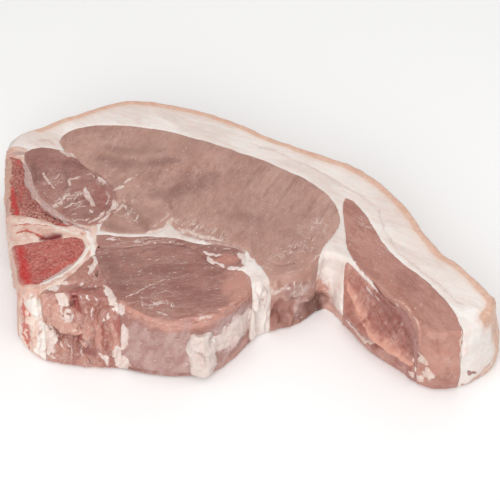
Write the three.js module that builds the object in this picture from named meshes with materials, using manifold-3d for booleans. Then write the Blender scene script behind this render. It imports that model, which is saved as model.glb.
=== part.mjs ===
// A raw bone-in pork loin chop lying flat: loin eye, tenderloin, half a sawn vertebra, a fat cap with its rind
// and the belly tail. Millimetres, +Z up, origin at the centre of the underside's bounding box.
// Every piece runs through the chop from the lower cut face to the upper one, as the real layers do.
import * as THREE from "three";
import { mergeVertices } from "three/addons/utils/BufferGeometryUtils.js";
import Module from "manifold-3d";

const wasm = await Module();
wasm.setup();

// ---- Driving sizes ----
const thickness = 28; // between the two cut faces
const rimSpacing = 4.2; // between points along the outside of the chop
const pieceSpacing = 3.6; // between points along a muscle or bone outline
const seamGap = 0.3; // clearance between neighbouring pieces
const seamBevel = 0.3; // how far each muscle's cut edge is rounded back at a seam
const boneBevel = 0.2; // the same for sawn bone, which stays sharper
const edgeRound = 1.5; // rounding where a cut face turns into the outside wall
const overshoot = 3; // how far a cutting prism passes the cut faces

// ---- The outside, seen from above, counter-clockwise at the upper cut face ----
// Each point is [x, y, flare]: flare is how far the foot of the wall stands out past the upper edge.
const rim = [
  // sawn face through the backbone
  [-90.4, 31, 0.6],
  [-89.6, 16, 0.4],
  [-88, 0, 0.2],
  [-85.2, -14, 0],
  [-83, -27, 0.3],
  [-80.2, -36.5, 2.4],
  // trimmed muscle beside the bone
  [-71, -41.5, 7.5],
  [-58, -43.5, 8.5],
  [-48.5, -45.5, 7.5],
  // tenderloin, a round wall under silver skin
  [-42, -50, 3.4],
  [-34, -54.8, 1],
  [-24, -56.7, 0],
  [-13, -54.8, 0],
  [-5, -49, 0],
  [0, -42.3, 0],
  // fat column, then the hollow wall under the loin eye
  [4.5, -37, 0],
  [10, -34.2, 0.3],
  [17, -33, -1],
  [22, -29.5, -1],
  // armpit between the eye and the tail
  [25.5, -24.5, 0.5],
  [29, -22, 2],
  [33, -23, 4.5],
  // inside of the belly tail
  [39, -28, 6.5],
  [46, -37, 7],
  [52.5, -45, 6.5],
  [57.5, -52.5, 4],
  // round end of the tail
  [61.2, -59.6, 1.5],
  [67.5, -62, 1.2],
  [75, -60.2, 1.5],
  [81.8, -56, 2],
  [86.6, -49.5, 2.4],
  [87.2, -43, 3],
  // rind side, back along the tail and over the loin
  [81.8, -35, 4],
  [76.6, -27.4, 3],
  [70.4, -20.6, 2.5],
  [63.9, -8.6, 2],
  [58.7, 2.6, 2],
  [51.4, 14.4, 1.5],
  [38.7, 26, 1],
  [24.5, 33.6, 1],
  [11.6, 40.1, 0.5],
  [-2.4, 49.1, 0.5],
  [-16.6, 56.2, 0],
  [-30.8, 60.9, 0],
  [-46, 62.4, 0],
  [-57.4, 59.2, 0],
  [-66.6, 53.6, 0],
  [-77.6, 47.8, 0],
  [-87.4, 42.2, 0.6],
];

// The wall's profile from the table up: height, share of the flare, and inset from the rounded edges.
// Sawn bone and the trimmed side lean evenly; the tail's inside is scooped above a ridge.
const ridgeHeight = 9.5;
const wallProfile = [
  { z: 0, lean: 1, scoop: 0.86, inset: edgeRound },
  { z: edgeRound * 0.7, lean: 0.98, scoop: 0.9, inset: edgeRound * 0.25 },
  { z: ridgeHeight * 0.45, lean: 0.86, scoop: 0.96, inset: 0 },
  { z: ridgeHeight, lean: 0.7, scoop: 1, inset: 0 },
  { z: thickness * 0.5, lean: 0.52, scoop: 0.6, inset: 0 },
  { z: thickness * 0.72, lean: 0.28, scoop: 0.27, inset: 0 },
  { z: thickness - edgeRound, lean: 0.05, scoop: 0.05, inset: edgeRound * 0.25 },
  { z: thickness, lean: 0, scoop: 0, inset: edgeRound },
];
const tailFrom = 27; // x where the tail's scooped wall begins
const tailFull = 37; // x where the scoop is complete
const tailEnd = 62; // x past which the end wall is plain again

// ---- Outlines of the pieces, seen from above ----
// Where a piece reaches the outside wall its outline runs past it, and the body cuts it there.
const spineBoneOutline = [
  [-95, 28], [-84.5, 27.6], [-82.2, 19], [-80.5, 12.5], [-77, 5.5], [-70, -2.2], [-62.5, -6.6],
  [-66.5, -7.6], [-76, -3.6], [-85, -1.6], [-95, -1.6],
];
const vertebraOutline = [
  [-95, -17.5], [-83, -17.2], [-76, -15.5], [-67.5, -13.8], [-61, -13.6], [-58.4, -17.5], [-59.8, -22],
  [-64.5, -29], [-70, -34], [-75.5, -36.8], [-79.5, -36.6], [-95, -36],
];
const backMuscleOutline = [
  [-83.3, 31.5], [-79, 34.5], [-72, 34], [-65.5, 30.5], [-62.5, 26], [-54, 18.5], [-48.5, 10], [-49.5, 0],
  [-55.5, -6.6], [-61, -6], [-67, -1.6], [-73, 4.6], [-77.6, 11], [-80.4, 20.5],
];
const loinOutline = [
  [-71, 38], [-66, 44.5], [-51, 47.5], [-39, 46.5], [-28, 44], [-8, 34.5], [12, 24], [21, 18], [28.5, 10.5],
  [33, 1], [33.2, -7.5], [28, -17], [24.5, -25], [21, -38], [12, -40], [6, -31], [0, -20.5], [-10, -15],
  [-20, -12.4], [-25, -9.5], [-28.5, -5.5], [-31.5, -10.4], [-44, -11], [-54, -8.6], [-49, 0], [-48, 10],
  [-54, 19], [-62.5, 26.5],
];
const chainMuscleOutline = [
  [-54.5, -11.8], [-45, -12.9], [-34, -12.8], [-26, -13.9], [-20, -15.8], [-10, -17.2], [-4, -19], [-0.8, -22.5],
  [-0.4, -26.5], [-3, -29.2], [-9.5, -28.4], [-14.5, -24.8], [-18.5, -19.4], [-27, -16], [-42, -17.2], [-53, -17.8],
];
const tenderloinOutline = [
  [-54, -19], [-42, -18.2], [-33, -16.7], [-27, -16.8], [-18.5, -20.2], [-14.5, -25.6], [-9.5, -29.2], [-1.5, -30.4],
  [1.2, -34], [0.9, -42], [0, -62], [-22, -64], [-43, -62], [-45, -44.5], [-49.5, -34.5], [-53, -26],
];
const trimMuscleOutline = [
  [-72, -40], [-66, -35.6], [-61, -29.8], [-57.5, -25], [-54.6, -22.4], [-53.4, -26.5], [-50, -35], [-45.6, -44.6],
  [-44, -64], [-58, -66], [-71, -64], [-71.4, -48],
];
const tailOuterOutline = [
  [36, 7.5], [39.5, 5], [43, -1], [46.8, -11.5], [53.5, -24], [62, -34], [67.5, -41.5], [71.8, -50], [74, -58],
  [74.5, -72], [61.6, -72], [60, -57.5], [56.2, -47.4], [50, -40], [42.6, -30.4], [38.2, -24], [36.2, -17],
  [35.4, -6], [35.2, 2],
];
const tailInnerOutline = [
  [36.3, -24.2], [39.2, -28.2], [43.7, -33.9], [49.3, -41], [54.9, -48.6], [58.8, -57.8], [60, -72], [44, -64],
  [33, -46], [34.6, -34], [35.4, -26],
];
const fatLumpOutline = [
  [-20.8, -57.4], [-17.6, -59.5], [-14, -59], [-11.6, -56], [-11.6, -50], [-20.4, -50],
];
// What is left of the body is fat and connective tissue, shared out between three pieces by these two regions.
const boneSheathRegion = [
  [-100, 35], [-90, 35], [-83.6, 34.6], [-81.2, 26], [-79.4, 16], [-74, 5.8], [-66, -1.4], [-60, -5.6], [-55, -6.4],
  [-54.6, -11], [-54.8, -20], [-58, -25.5], [-62, -31], [-66.5, -36], [-72, -40.4], [-71.8, -50], [-71, -66], [-100, -70],
];
const seamFatRegion = [
  [-54.6, -5], [-42, -6], [-30, 0], [-20, -7], [-2, -13], [6, -22], [9, -32], [10, -45], [3, -66], [-3, -66], [-20, -40],
  [-54, -30],
];

// ---- Shape helpers ----

// Points at an even spacing round a smooth closed curve through [x, y] or [x, y, flare] points.
function smoothLoop(points, spacing) {
  const knots = points.map(([x, y, flare = 0]) => new THREE.Vector3(x, y, flare));
  const curve = new THREE.CatmullRomCurve3(knots, true, "centripetal");
  curve.arcLengthDivisions = 1200;
  const count = Math.round(curve.getLength() / spacing);
  return curve.getSpacedPoints(count).slice(0, count);
}

// The loop's outward normals in plan, for a counter-clockwise or clockwise loop.
function outwardNormals(loop) {
  const turn = THREE.ShapeUtils.area(loop) > 0 ? 1 : -1;
  return loop.map((_, i) => {
    const before = loop[(i + loop.length - 1) % loop.length];
    const after = loop[(i + 1) % loop.length];
    return new THREE.Vector2(after.y - before.y, before.x - after.x).normalize().multiplyScalar(turn);
  });
}

// A closed solid whose wall passes through rings of equal length, with flat caps.
function loftBetween(rings) {
  const count = rings[0].length;
  const positions = rings.flat().flatMap((p) => [p.x, p.y, p.z]);
  const faces = [];
  for (let r = 0; r + 1 < rings.length; r++) {
    for (let i = 0; i < count; i++) {
      const j = (i + 1) % count;
      const [a, b, c, d] = [r * count + i, r * count + j, (r + 1) * count + j, (r + 1) * count + i];
      faces.push(a, b, c, a, c, d);
    }
  }
  const capTriangles = (ring) => THREE.ShapeUtils.triangulateShape(ring, []);
  const top = (rings.length - 1) * count;
  for (const [a, b, c] of capTriangles(rings[0])) faces.push(c, b, a);
  for (const [a, b, c] of capTriangles(rings.at(-1))) faces.push(top + a, top + b, top + c);
  const geometry = new THREE.BufferGeometry();
  geometry.setAttribute("position", new THREE.Float32BufferAttribute(positions, 3));
  geometry.setIndex(faces);
  return toSolid(geometry);
}

function toSolid(geometry) {
  const merged = mergeVertices(geometry, 1e-4);
  const mesh = new wasm.Mesh({
    numProp: 3,
    vertProperties: merged.getAttribute("position").array,
    triVerts: new Uint32Array(merged.index.array),
  });
  return new wasm.Manifold(mesh);
}

function toGeometry(solid) {
  const mesh = solid.getMesh();
  const geometry = new THREE.BufferGeometry();
  geometry.setAttribute("position", new THREE.BufferAttribute(mesh.vertProperties, 3));
  geometry.setIndex(new THREE.BufferAttribute(mesh.triVerts, 1));
  return geometry;
}

// The loop moved outwards by an amount for each point, at one height.
function ringAt(loop, normals, z, amountOf) {
  return loop.map((p, i) => {
    const amount = amountOf(p);
    return new THREE.Vector3(p.x + normals[i].x * amount, p.y + normals[i].y * amount, z);
  });
}

// The whole chop before it is divided: its rim, flared walls and rounded edges.
function chopBody() {
  const loop = smoothLoop(rim, rimSpacing);
  const normals = outwardNormals(loop);
  const scoopShare = (p) =>
    THREE.MathUtils.smoothstep(p.x, tailFrom, tailFull) * (1 - THREE.MathUtils.smoothstep(p.x, tailEnd - 6, tailEnd));
  const rings = wallProfile.map(({ z, lean, scoop, inset }) =>
    ringAt(loop, normals, z, (p) => p.z * THREE.MathUtils.lerp(lean, scoop, scoopShare(p)) - inset),
  );
  return loftBetween(rings);
}

// A straight prism over an outline, past both cut faces. grow moves its wall outwards.
function regionPrism(outline, grow = 0) {
  const loop = counterClockwise(smoothLoop(outline, pieceSpacing));
  const normals = outwardNormals(loop);
  const levels = [-overshoot, thickness + overshoot];
  return loftBetween(levels.map((z) => ringAt(loop, normals, z, () => grow)));
}

// A muscle or bone: as the prism, but between the cut faces and with its edges there rounded back.
function bevelledPrism(outline, bevel) {
  const loop = counterClockwise(smoothLoop(outline, pieceSpacing));
  const normals = outwardNormals(loop);
  const levels = [
    { z: 0, inset: bevel },
    { z: bevel, inset: 0 },
    { z: thickness - bevel, inset: 0 },
    { z: thickness, inset: bevel },
  ];
  return loftBetween(levels.map(({ z, inset }) => ringAt(loop, normals, z, () => -inset)));
}

function counterClockwise(loop) {
  return THREE.ShapeUtils.area(loop) > 0 ? loop : [...loop].reverse();
}

// Cutting leaves slivers beside a seam; the piece is the largest body.
function largestBody(solid) {
  return solid.decompose().reduce((best, body) => (body.volume() > best.volume() ? body : best));
}

// A lump of fat that clings to the tenderloin's wall: rings that swell and narrow with height.
function fatLump() {
  const lowest = 3;
  const height = 19.5;
  const loop = counterClockwise(smoothLoop(fatLumpOutline, pieceSpacing * 0.6));
  const normals = outwardNormals(loop);
  const levels = 9;
  const rings = Array.from({ length: levels }, (_, i) => {
    const share = i / (levels - 1);
    const swell = Math.sin(Math.PI * (0.08 + 0.84 * share)) + 0.18 * Math.sin(share * 11);
    return ringAt(loop, normals, lowest + height * share, () => (swell - 1) * 1.9);
  });
  return loftBetween(rings);
}

// ---- Dividing the body ----
const body = chopBody();
let leftover = body; // what no piece has claimed yet
const solids = {};

// Takes one piece out of the body. What is left keeps a clearance to it.
function claim(name, outline, bevel) {
  solids[name] = largestBody(bevelledPrism(outline, bevel).intersect(leftover));
  leftover = leftover.subtract(regionPrism(outline, seamGap));
}

claim("spine_bone", spineBoneOutline, boneBevel);
claim("vertebra_bone", vertebraOutline, boneBevel);
claim("back_muscle", backMuscleOutline, seamBevel);
claim("tenderloin_muscle", tenderloinOutline, seamBevel);
claim("chain_muscle", chainMuscleOutline, seamBevel);
claim("trim_muscle", trimMuscleOutline, seamBevel);
claim("loin_muscle", loinOutline, seamBevel);
claim("tail_outer_muscle", tailOuterOutline, seamBevel);
claim("tail_inner_muscle", tailInnerOutline, seamBevel);

const sheathPrism = regionPrism(boneSheathRegion);
const seamPrism = regionPrism(seamFatRegion);
solids.bone_sheath = largestBody(leftover.intersect(sheathPrism));
solids.seam_fat = largestBody(leftover.intersect(seamPrism).subtract(regionPrism(boneSheathRegion, seamGap)));
solids.fat_cap = largestBody(
  leftover.subtract(regionPrism(boneSheathRegion, seamGap)).subtract(regionPrism(seamFatRegion, seamGap)),
);
const clearOfWall = chopBodyGrown(seamGap);
solids.fat_lump = largestBody(fatLump().subtract(clearOfWall));

// The body with its wall moved out by the seam's clearance, to cut what clings to it.
function chopBodyGrown(grow) {
  const loop = smoothLoop(rim, rimSpacing);
  const normals = outwardNormals(loop);
  const levels = [-overshoot, thickness + overshoot];
  return loftBetween(levels.map((z) => ringAt(loop, normals, z, (p) => Math.max(p.z, 0) + grow)));
}

// ---- Materials ----
const finish = (color, roughness) => new THREE.MeshStandardMaterial({ color, roughness, metalness: 0 });
const materials = {
  fat: finish(0xe7d8cf, 0.45),
  bone: finish(0xac6660, 0.6),
  sheath: finish(0xdcbba8, 0.5),
  loin: finish(0xb68f82, 0.4),
  tenderloin: finish(0xa67a6e, 0.4),
  belly: finish(0xb4806f, 0.42),
};
const materialOf = {
  spine_bone: materials.bone,
  vertebra_bone: materials.bone,
  bone_sheath: materials.sheath,
  back_muscle: materials.tenderloin,
  loin_muscle: materials.loin,
  chain_muscle: materials.tenderloin,
  tenderloin_muscle: materials.tenderloin,
  trim_muscle: materials.belly,
  tail_outer_muscle: materials.belly,
  tail_inner_muscle: materials.belly,
  seam_fat: materials.fat,
  fat_cap: materials.fat,
  fat_lump: materials.fat,
};

// ---- The chop ----
const chop = new THREE.Group();
for (const [name, solid] of Object.entries(solids)) {
  const mesh = new THREE.Mesh(toGeometry(solid), materialOf[name]);
  mesh.name = name;
  chop.add(mesh);
}

// The origin goes to the middle of the underside.
const extent = new THREE.Box3().setFromObject(chop);
const middle = extent.getCenter(new THREE.Vector3());
for (const mesh of chop.children) mesh.position.set(-middle.x, -middle.y, -extent.min.z);

export default chop;
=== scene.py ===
import itertools
import math

import bpy
import numpy as np
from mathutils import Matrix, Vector
from mathutils.bvhtree import BVHTree


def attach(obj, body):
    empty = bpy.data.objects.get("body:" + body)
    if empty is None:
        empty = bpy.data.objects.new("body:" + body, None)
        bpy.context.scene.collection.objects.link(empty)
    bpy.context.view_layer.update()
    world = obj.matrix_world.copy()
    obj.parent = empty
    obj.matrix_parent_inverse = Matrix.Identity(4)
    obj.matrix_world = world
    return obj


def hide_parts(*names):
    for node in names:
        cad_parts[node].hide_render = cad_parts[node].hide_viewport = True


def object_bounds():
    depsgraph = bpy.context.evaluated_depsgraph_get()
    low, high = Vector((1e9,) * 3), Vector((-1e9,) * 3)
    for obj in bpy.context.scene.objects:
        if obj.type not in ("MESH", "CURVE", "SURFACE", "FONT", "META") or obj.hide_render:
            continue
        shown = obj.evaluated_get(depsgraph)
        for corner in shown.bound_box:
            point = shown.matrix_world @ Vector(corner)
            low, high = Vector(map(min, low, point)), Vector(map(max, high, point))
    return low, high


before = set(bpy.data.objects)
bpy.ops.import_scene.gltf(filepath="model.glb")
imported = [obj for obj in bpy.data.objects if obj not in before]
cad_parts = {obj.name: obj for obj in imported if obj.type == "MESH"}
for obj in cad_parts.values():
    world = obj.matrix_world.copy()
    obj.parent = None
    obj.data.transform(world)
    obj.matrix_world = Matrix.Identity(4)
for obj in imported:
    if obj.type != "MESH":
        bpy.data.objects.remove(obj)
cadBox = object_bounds()
low, high = (np.array(corner) for corner in cadBox)
span = high - low
mm = 0.001

# Camera, floor and soft studio light

cameraSettings = {
    "elevation": 45,      # degrees above the table
    "distance": 0.8,
    "aim": (0.0016, -0.0058),   # from the middle of the chop, along x and y
    "lens": 156.7,
}

lightSettings = {
    # name: (azimuth, elevation, distance, size, watts)
    "topBox": (15, 78, 0.7, 0.75, 1.6),
    "frontBox": (-12, 34, 0.8, 0.6, 3.1),
    "backBox": (150, 40, 0.8, 0.5, 0.55),
}


def directionFrom(azimuth, elevation):
    a, e = math.radians(azimuth), math.radians(elevation)
    return Vector((math.sin(a) * math.cos(e), -math.cos(a) * math.cos(e), math.sin(e)))


def setUpStudio():
    scene = bpy.context.scene
    scene.view_settings.view_transform = "Standard"
    middle = Vector((low + high) / 2)

    aimPoint = middle + Vector((*cameraSettings["aim"], 0))
    back = directionFrom(0, cameraSettings["elevation"])
    cameraData = bpy.data.cameras.new("camera")
    cameraData.lens = cameraSettings["lens"]
    camera = bpy.data.objects.new("camera", cameraData)
    camera.location = aimPoint + back * cameraSettings["distance"]
    camera.rotation_euler = back.to_track_quat("Z", "Y").to_euler()
    scene.collection.objects.link(camera)
    scene.camera = camera

    for name, (azimuth, elevation, distance, size, watts) in lightSettings.items():
        lightData = bpy.data.lights.new(name, "AREA")
        lightData.shape = "DISK"
        lightData.size = size
        lightData.energy = watts
        light = bpy.data.objects.new(name, lightData)
        away = directionFrom(azimuth, elevation)
        light.location = middle + away * distance
        light.rotation_euler = away.to_track_quat("Z", "Y").to_euler()
        scene.collection.objects.link(light)

    world = bpy.data.worlds.new("studio")
    world.use_nodes = True
    background = world.node_tree.nodes["Background"]
    background.inputs["Color"].default_value = (1.0, 0.99, 0.98, 1)
    background.inputs["Strength"].default_value = 0.5
    scene.world = world


setUpStudio()
print("studio ready")


# Modelling helpers

def pickOnly(piece):
    bpy.ops.object.select_all(action="DESELECT")
    piece.select_set(True)
    bpy.context.view_layer.objects.active = piece


def applyModifier(piece, kind, **settings):
    pickOnly(piece)
    modifier = piece.modifiers.new(kind.lower(), kind)
    for key, value in settings.items():
        setattr(modifier, key, value)
    bpy.ops.object.modifier_apply(modifier=modifier.name)


def copyNode(name, node):
    piece = bpy.data.objects.new(name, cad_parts[node].data.copy())
    bpy.context.scene.collection.objects.link(piece)
    pickOnly(piece)
    bpy.ops.object.mode_set(mode="EDIT")
    bpy.ops.mesh.select_all(action="SELECT")
    bpy.ops.mesh.remove_doubles(threshold=0.001 * mm)
    bpy.ops.object.mode_set(mode="OBJECT")
    piece.data.materials.clear()
    return piece


def readPoints(mesh):
    points = np.empty(len(mesh.vertices) * 3, np.float32)
    mesh.vertices.foreach_get("co", points)
    return points.reshape(-1, 3).astype(float)


def readNormals(mesh):
    normals = np.empty(len(mesh.vertices) * 3, np.float32)
    mesh.vertex_normals.foreach_get("vector", normals)
    return normals.reshape(-1, 3).astype(float)


def writePoints(mesh, points):
    mesh.vertices.foreach_set("co", points.astype(np.float32).ravel())
    mesh.update()


# Smooth lumpy noise from -1 to 1, the same for every piece at the same place.
# The large odd numbers only scatter the cells' values.
def lumps(points, size, seed):
    grid = points / size + seed * 17.31
    cell = np.floor(grid).astype(np.int64)
    part = grid - cell
    part = part * part * (3 - 2 * part)
    total = np.zeros(len(points))
    for corner in itertools.product((0, 1), repeat=3):
        spot = cell + np.array(corner)
        value = (spot[:, 0] * 374761393 + spot[:, 1] * 668265263 + spot[:, 2] * 2147483647) & 0xFFFFFFFF
        value = ((value ^ (value >> 13)) * 1274126177) & 0xFFFFFFFF
        value = (value ^ (value >> 16)) / 0xFFFFFFFF
        weight = np.prod(np.where(np.array(corner) == 1, part, 1 - part), axis=1)
        total += value * weight
    return total * 2 - 1


def smoothStep(value, start, end):
    share = np.clip((value - start) / (end - start), 0, 1)
    return share * share * (3 - 2 * share)


# Every piece is bent by one and the same field, so the seams wander but stay closed.
def wander(points):
    shift = np.zeros_like(points)
    for axis in (0, 1):
        shift[:, axis] = 0.55 * mm * lumps(points, 11 * mm, 3 + axis) + 0.3 * mm * lumps(points, 4.2 * mm, 7 + axis)
        shift[:, axis] += 0.12 * mm * lumps(points, 1.7 * mm, 11 + axis)
    upper = smoothStep(points[:, 2], low[2] + 3 * mm, high[2] - 4 * mm)
    level = np.column_stack([points[:, 0], points[:, 1], np.zeros(len(points))])
    shift[:, 2] = upper * (0.3 * mm * lumps(level, 16 * mm, 21) + 0.13 * mm * lumps(level, 5 * mm, 22) - 0.15 * mm)
    return points + shift


# Brush strokes: percent of the chop's length, width and thickness. A plan stroke marks both cut faces, a front or
# side stroke the walls that face that way, and a top stroke everything below it.

axesOf = {"plan": (0, 1), "top": (0, 1), "front": (0, 2), "side": (1, 2)}
inwardOf = {"front": (0, 1, 0), "side": (1, 0, 0)}


def facingOf(normals, view):
    if view == "top":
        return np.ones(len(normals))
    if view == "plan":
        return smoothStep(np.abs(normals[:, 2]), 0.35, 0.8)
    axis = 1 if view == "front" else 0
    return smoothStep(-normals[:, axis], 0.0, 0.35)


# The same unevenness bends every stroke on a piece.
def unevenness(points):
    bend = [lumps(points, 2.6 * mm, 31 + i) + 0.6 * lumps(points, 1.1 * mm, 33 + i) for i in (0, 1)]
    return np.column_stack(bend), lumps(points, 2.2 * mm, 37)


sculptWobble = 0.3    # mm that a sculpting stroke wanders to the side
paintWobble = 0.65    # the same for a painted one


def strokeWeight(points, normals, uneven, view, width, track, wobble):
    axes = axesOf[view]
    flat = points[:, axes] + wobble * mm * uneven[0]
    track = [np.array([low[a] + span[a] * share / 100 for a, share in zip(axes, point)]) for point in track]
    steps = [max(np.linalg.norm(end - start), 1e-9) for start, end in zip(track, track[1:])]
    distance = np.linalg.norm(flat - track[0], axis=1)
    place = np.full(len(points), 0.5 if not steps else 0.0)
    for i, (start, end) in enumerate(zip(track, track[1:])):
        along = (end - start) / steps[i]
        run = np.clip((flat - start) @ along, 0, steps[i])
        away = np.linalg.norm(flat - start - run[:, None] * along, axis=1)
        nearer = away < distance
        distance = np.where(nearer, away, distance)
        place = np.where(nearer, (sum(steps[:i]) + run) / sum(steps), place)
    # thinner towards both ends, and never quite even
    reach = width * mm * (1 - 0.5 * np.abs(2 * place - 1) ** 4) * (1 + 0.35 * uneven[1])
    return smoothStep(-distance, -reach, 0) * facingOf(normals, view)


# Sculpting: each stroke is (view, depth in mm, width in mm, track). A negative depth pulls outwards, and a top
# stroke presses the piece down.
def sculpt(mesh, strokes):
    points, normals = readPoints(mesh), readNormals(mesh)
    uneven = unevenness(points)
    moved = points.copy()
    for view, depth, width, track in strokes:
        weight = strokeWeight(points, normals, uneven, view, width, track, sculptWobble)
        if view == "top":
            moved[:, 2] -= weight * depth * mm * np.clip((points[:, 2] - low[2]) / span[2], 0, 1) ** 1.5
            continue
        inward = -normals if view == "plan" else np.array(inwardOf[view]) - normals
        inward /= np.maximum(np.linalg.norm(inward, axis=1), 1e-6)[:, None]
        moved += inward * (weight * depth * mm)[:, None]
    writePoints(mesh, moved)


channels = {"fat": 0, "red": 1, "dark": 2, "skin": 3, "web": 4}


# Marks are grouped under their channel and view, each as (strength, width in mm, track).
def strokesIn(groups):
    return [(*place.split(), *stroke) for place, strokes in groups.items() for stroke in strokes]


# Painting: where strokes of one channel cross, the stronger one shows.
def paint(mesh, strokes, zone):
    points, normals = readPoints(mesh), readNormals(mesh)
    uneven = unevenness(points)
    colours = np.zeros((len(points), 5))
    for channel, view, strength, width, track in strokes:
        column = channels[channel]
        weight = strokeWeight(points, normals, uneven, view, width, track, paintWobble)
        colours[:, column] = np.maximum(colours[:, column], weight * strength)
    zone[:, 1] = np.maximum(zone[:, 1], colours[:, 4])
    for name, values in (("paint", colours[:, :4]), ("zone", zone)):
        layer = mesh.attributes.new(name, "FLOAT_COLOR", "POINT")
        layer.data.foreach_set("color", values.astype(np.float32).ravel())


def treeOf(nodes):
    points, faces = [], []
    for node in nodes:
        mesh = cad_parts[node].data
        start = len(points)
        points += [v.co.copy() for v in mesh.vertices]
        faces += [[start + i for i in p.vertices] for p in mesh.polygons]
    return BVHTree.FromPolygons(points, faces)


def distanceTo(tree, points, limit):
    result = np.full(len(points), limit)
    for i, point in enumerate(points):
        hit = tree.find_nearest(point, limit)
        if hit[3] is not None:
            result[i] = hit[3]
    return result


fatNodes = ("fat_cap", "seam_fat", "bone_sheath", "fat_lump")
zoneReach = 3 * mm


# Zones: nearness to fat or meat next door, rind, and how far the surface is a wall.
def zonesOf(node, points, normals, rind=None):
    others = [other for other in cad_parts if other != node]
    kind = [other for other in others if (other in fatNodes) != (node in fatNodes)]
    zone = np.zeros((len(points), 4))
    zone[:, 0] = 1 - distanceTo(treeOf(kind), points, zoneReach) / zoneReach
    if rind is not None:
        zone[:, 1] = rind
    zone[:, 2] = 1 - smoothStep(np.abs(normals[:, 2]), 0.25, 0.75)
    zone[:, 3] = 1 - distanceTo(treeOf(others), points, zoneReach) / zoneReach
    return zone


# Shader helpers

lightLevel = 1.04   # how much brighter a surface comes out than its own colour
sheen = 0.016       # what the wet gloss adds to it
bumpDepth = 0.0004      # metres
scatterDepth = 0.0012   # metres that light goes into the flesh


def linear(colour):
    out = []
    for value in colour:
        value /= 255
        value = value / 12.92 if value <= 0.04045 else ((value + 0.055) / 1.055) ** 2.4
        out.append(min(max(value / lightLevel - sheen, 0.001), 1))
    return (*out, 1)


def addNode(tree, kind, settings=None, inputs=None):
    node = tree.nodes.new(kind)
    for key, value in (settings or {}).items():
        setattr(node, key, value)
    for key, value in (inputs or {}).items():
        if isinstance(value, bpy.types.NodeSocket):
            tree.links.new(value, node.inputs[key])
        else:
            node.inputs[key].default_value = value
    return node


def blendColour(tree, factor, first, second):
    node = addNode(tree, "ShaderNodeMix", {"data_type": "RGBA"}, {0: factor, 6: first, 7: second})
    return node.outputs[2]


def calc(tree, operation, first, second=0.0):
    return addNode(tree, "ShaderNodeMath", {"operation": operation}, {0: first, 1: second}).outputs[0]


def times(tree, first, second):
    return calc(tree, "MULTIPLY", first, second)


def plus(tree, first, second):
    return calc(tree, "ADD", first, second)


def between(tree, value, start, end, out=(0, 1)):
    settings = {"interpolation_type": "SMOOTHSTEP"}
    inputs = {"Value": value, "From Min": start, "From Max": end, "To Min": out[0], "To Max": out[1]}
    return addNode(tree, "ShaderNodeMapRange", settings, inputs).outputs["Result"]


def noise(tree, vector, scale, detail=3.0, roughness=0.55, distortion=0.0):
    inputs = {"Vector": vector, "Scale": scale, "Detail": detail, "Roughness": roughness, "Distortion": distortion}
    return addNode(tree, "ShaderNodeTexNoise", None, inputs).outputs["Fac"]


def stretch(tree, vector, turn, scale):
    inputs = {"Vector": vector, "Rotation": [math.radians(t) for t in turn], "Scale": [1 / part for part in scale]}
    return addNode(tree, "ShaderNodeMapping", {"vector_type": "TEXTURE"}, inputs).outputs["Vector"]


def newGroup(name, inputs, outputs):
    tree = bpy.data.node_groups.new(name, "ShaderNodeTree")
    for label, kind, value in inputs:
        socket = tree.interface.new_socket(label, in_out="INPUT", socket_type="NodeSocket" + kind)
        if value is not None:
            socket.default_value = value
    for label, kind in outputs:
        tree.interface.new_socket(label, in_out="OUTPUT", socket_type="NodeSocket" + kind)
    entry = addNode(tree, "NodeGroupInput")
    return tree, entry.outputs, addNode(tree, "NodeGroupOutput")


def connect(tree, target, sockets):
    for label, socket in sockets.items():
        tree.links.new(socket, target.inputs[label])


def useGroup(tree, group, inputs):
    return addNode(tree, "ShaderNodeGroup", {"node_tree": group}, inputs).outputs


# Muscle cut across the grain: bundles a millimetre or two wide with thin pale walls between them
def makeMeatGrain():
    tree, given, result = newGroup(
        "meatGrain",
        [("Vector", "Vector", None), ("Bundles", "Float", 560.0)],
        [("Tone", "Float"), ("Threads", "Float"), ("Relief", "Float")],
    )
    vector, bundles = given["Vector"], given["Bundles"]
    broad = noise(tree, vector, 95, 4, 0.6, 0.4)
    middle = noise(tree, vector, 430, 4, 0.7, 0.5)
    fine = noise(tree, vector, 1600, 3, 0.75)
    warpInputs = {"Vector": vector, "Scale": 260.0, "Detail": 2.0}
    warp = addNode(tree, "ShaderNodeTexNoise", None, warpInputs).outputs["Color"]
    warp = addNode(tree, "ShaderNodeVectorMath", {"operation": "SCALE"}, {0: warp, "Scale": 0.0045}).outputs[0]
    bent = addNode(tree, "ShaderNodeVectorMath", {"operation": "ADD"}, {0: vector, 1: warp}).outputs[0]
    edge = addNode(tree, "ShaderNodeTexVoronoi", {"feature": "DISTANCE_TO_EDGE"}, {"Vector": bent, "Scale": bundles})
    patch = between(tree, noise(tree, vector, 190, 2), 0.42, 0.66)
    threads = times(tree, between(tree, edge.outputs["Distance"], 0.09, 0.0), patch)
    tone = plus(tree, times(tree, broad, 0.4), times(tree, middle, 0.35))
    tone = plus(tree, tone, times(tree, fine, 0.25))
    relief = plus(tree, times(tree, fine, 0.6), times(tree, middle, 1.2))
    connect(tree, result, {"Tone": tone, "Threads": threads, "Relief": relief})
    return tree


# Thin pale lines of gristle that wind between the muscle bundles
def makeWeb():
    tree, given, result = newGroup(
        "gristleWeb",
        [("Vector", "Vector", None), ("Scale", "Float", 170.0), ("Width", "Float", 0.03)],
        [("Mask", "Float")],
    )
    field = noise(tree, given["Vector"], given["Scale"], 3, 0.6, 0.7)
    line = between(tree, calc(tree, "ABSOLUTE", calc(tree, "SUBTRACT", field, 0.5)), given["Width"], 0.004)
    breaks = between(tree, noise(tree, given["Vector"], 330, 3), 0.42, 0.6)
    connect(tree, result, {"Mask": times(tree, line, breaks)})
    return tree


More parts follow.
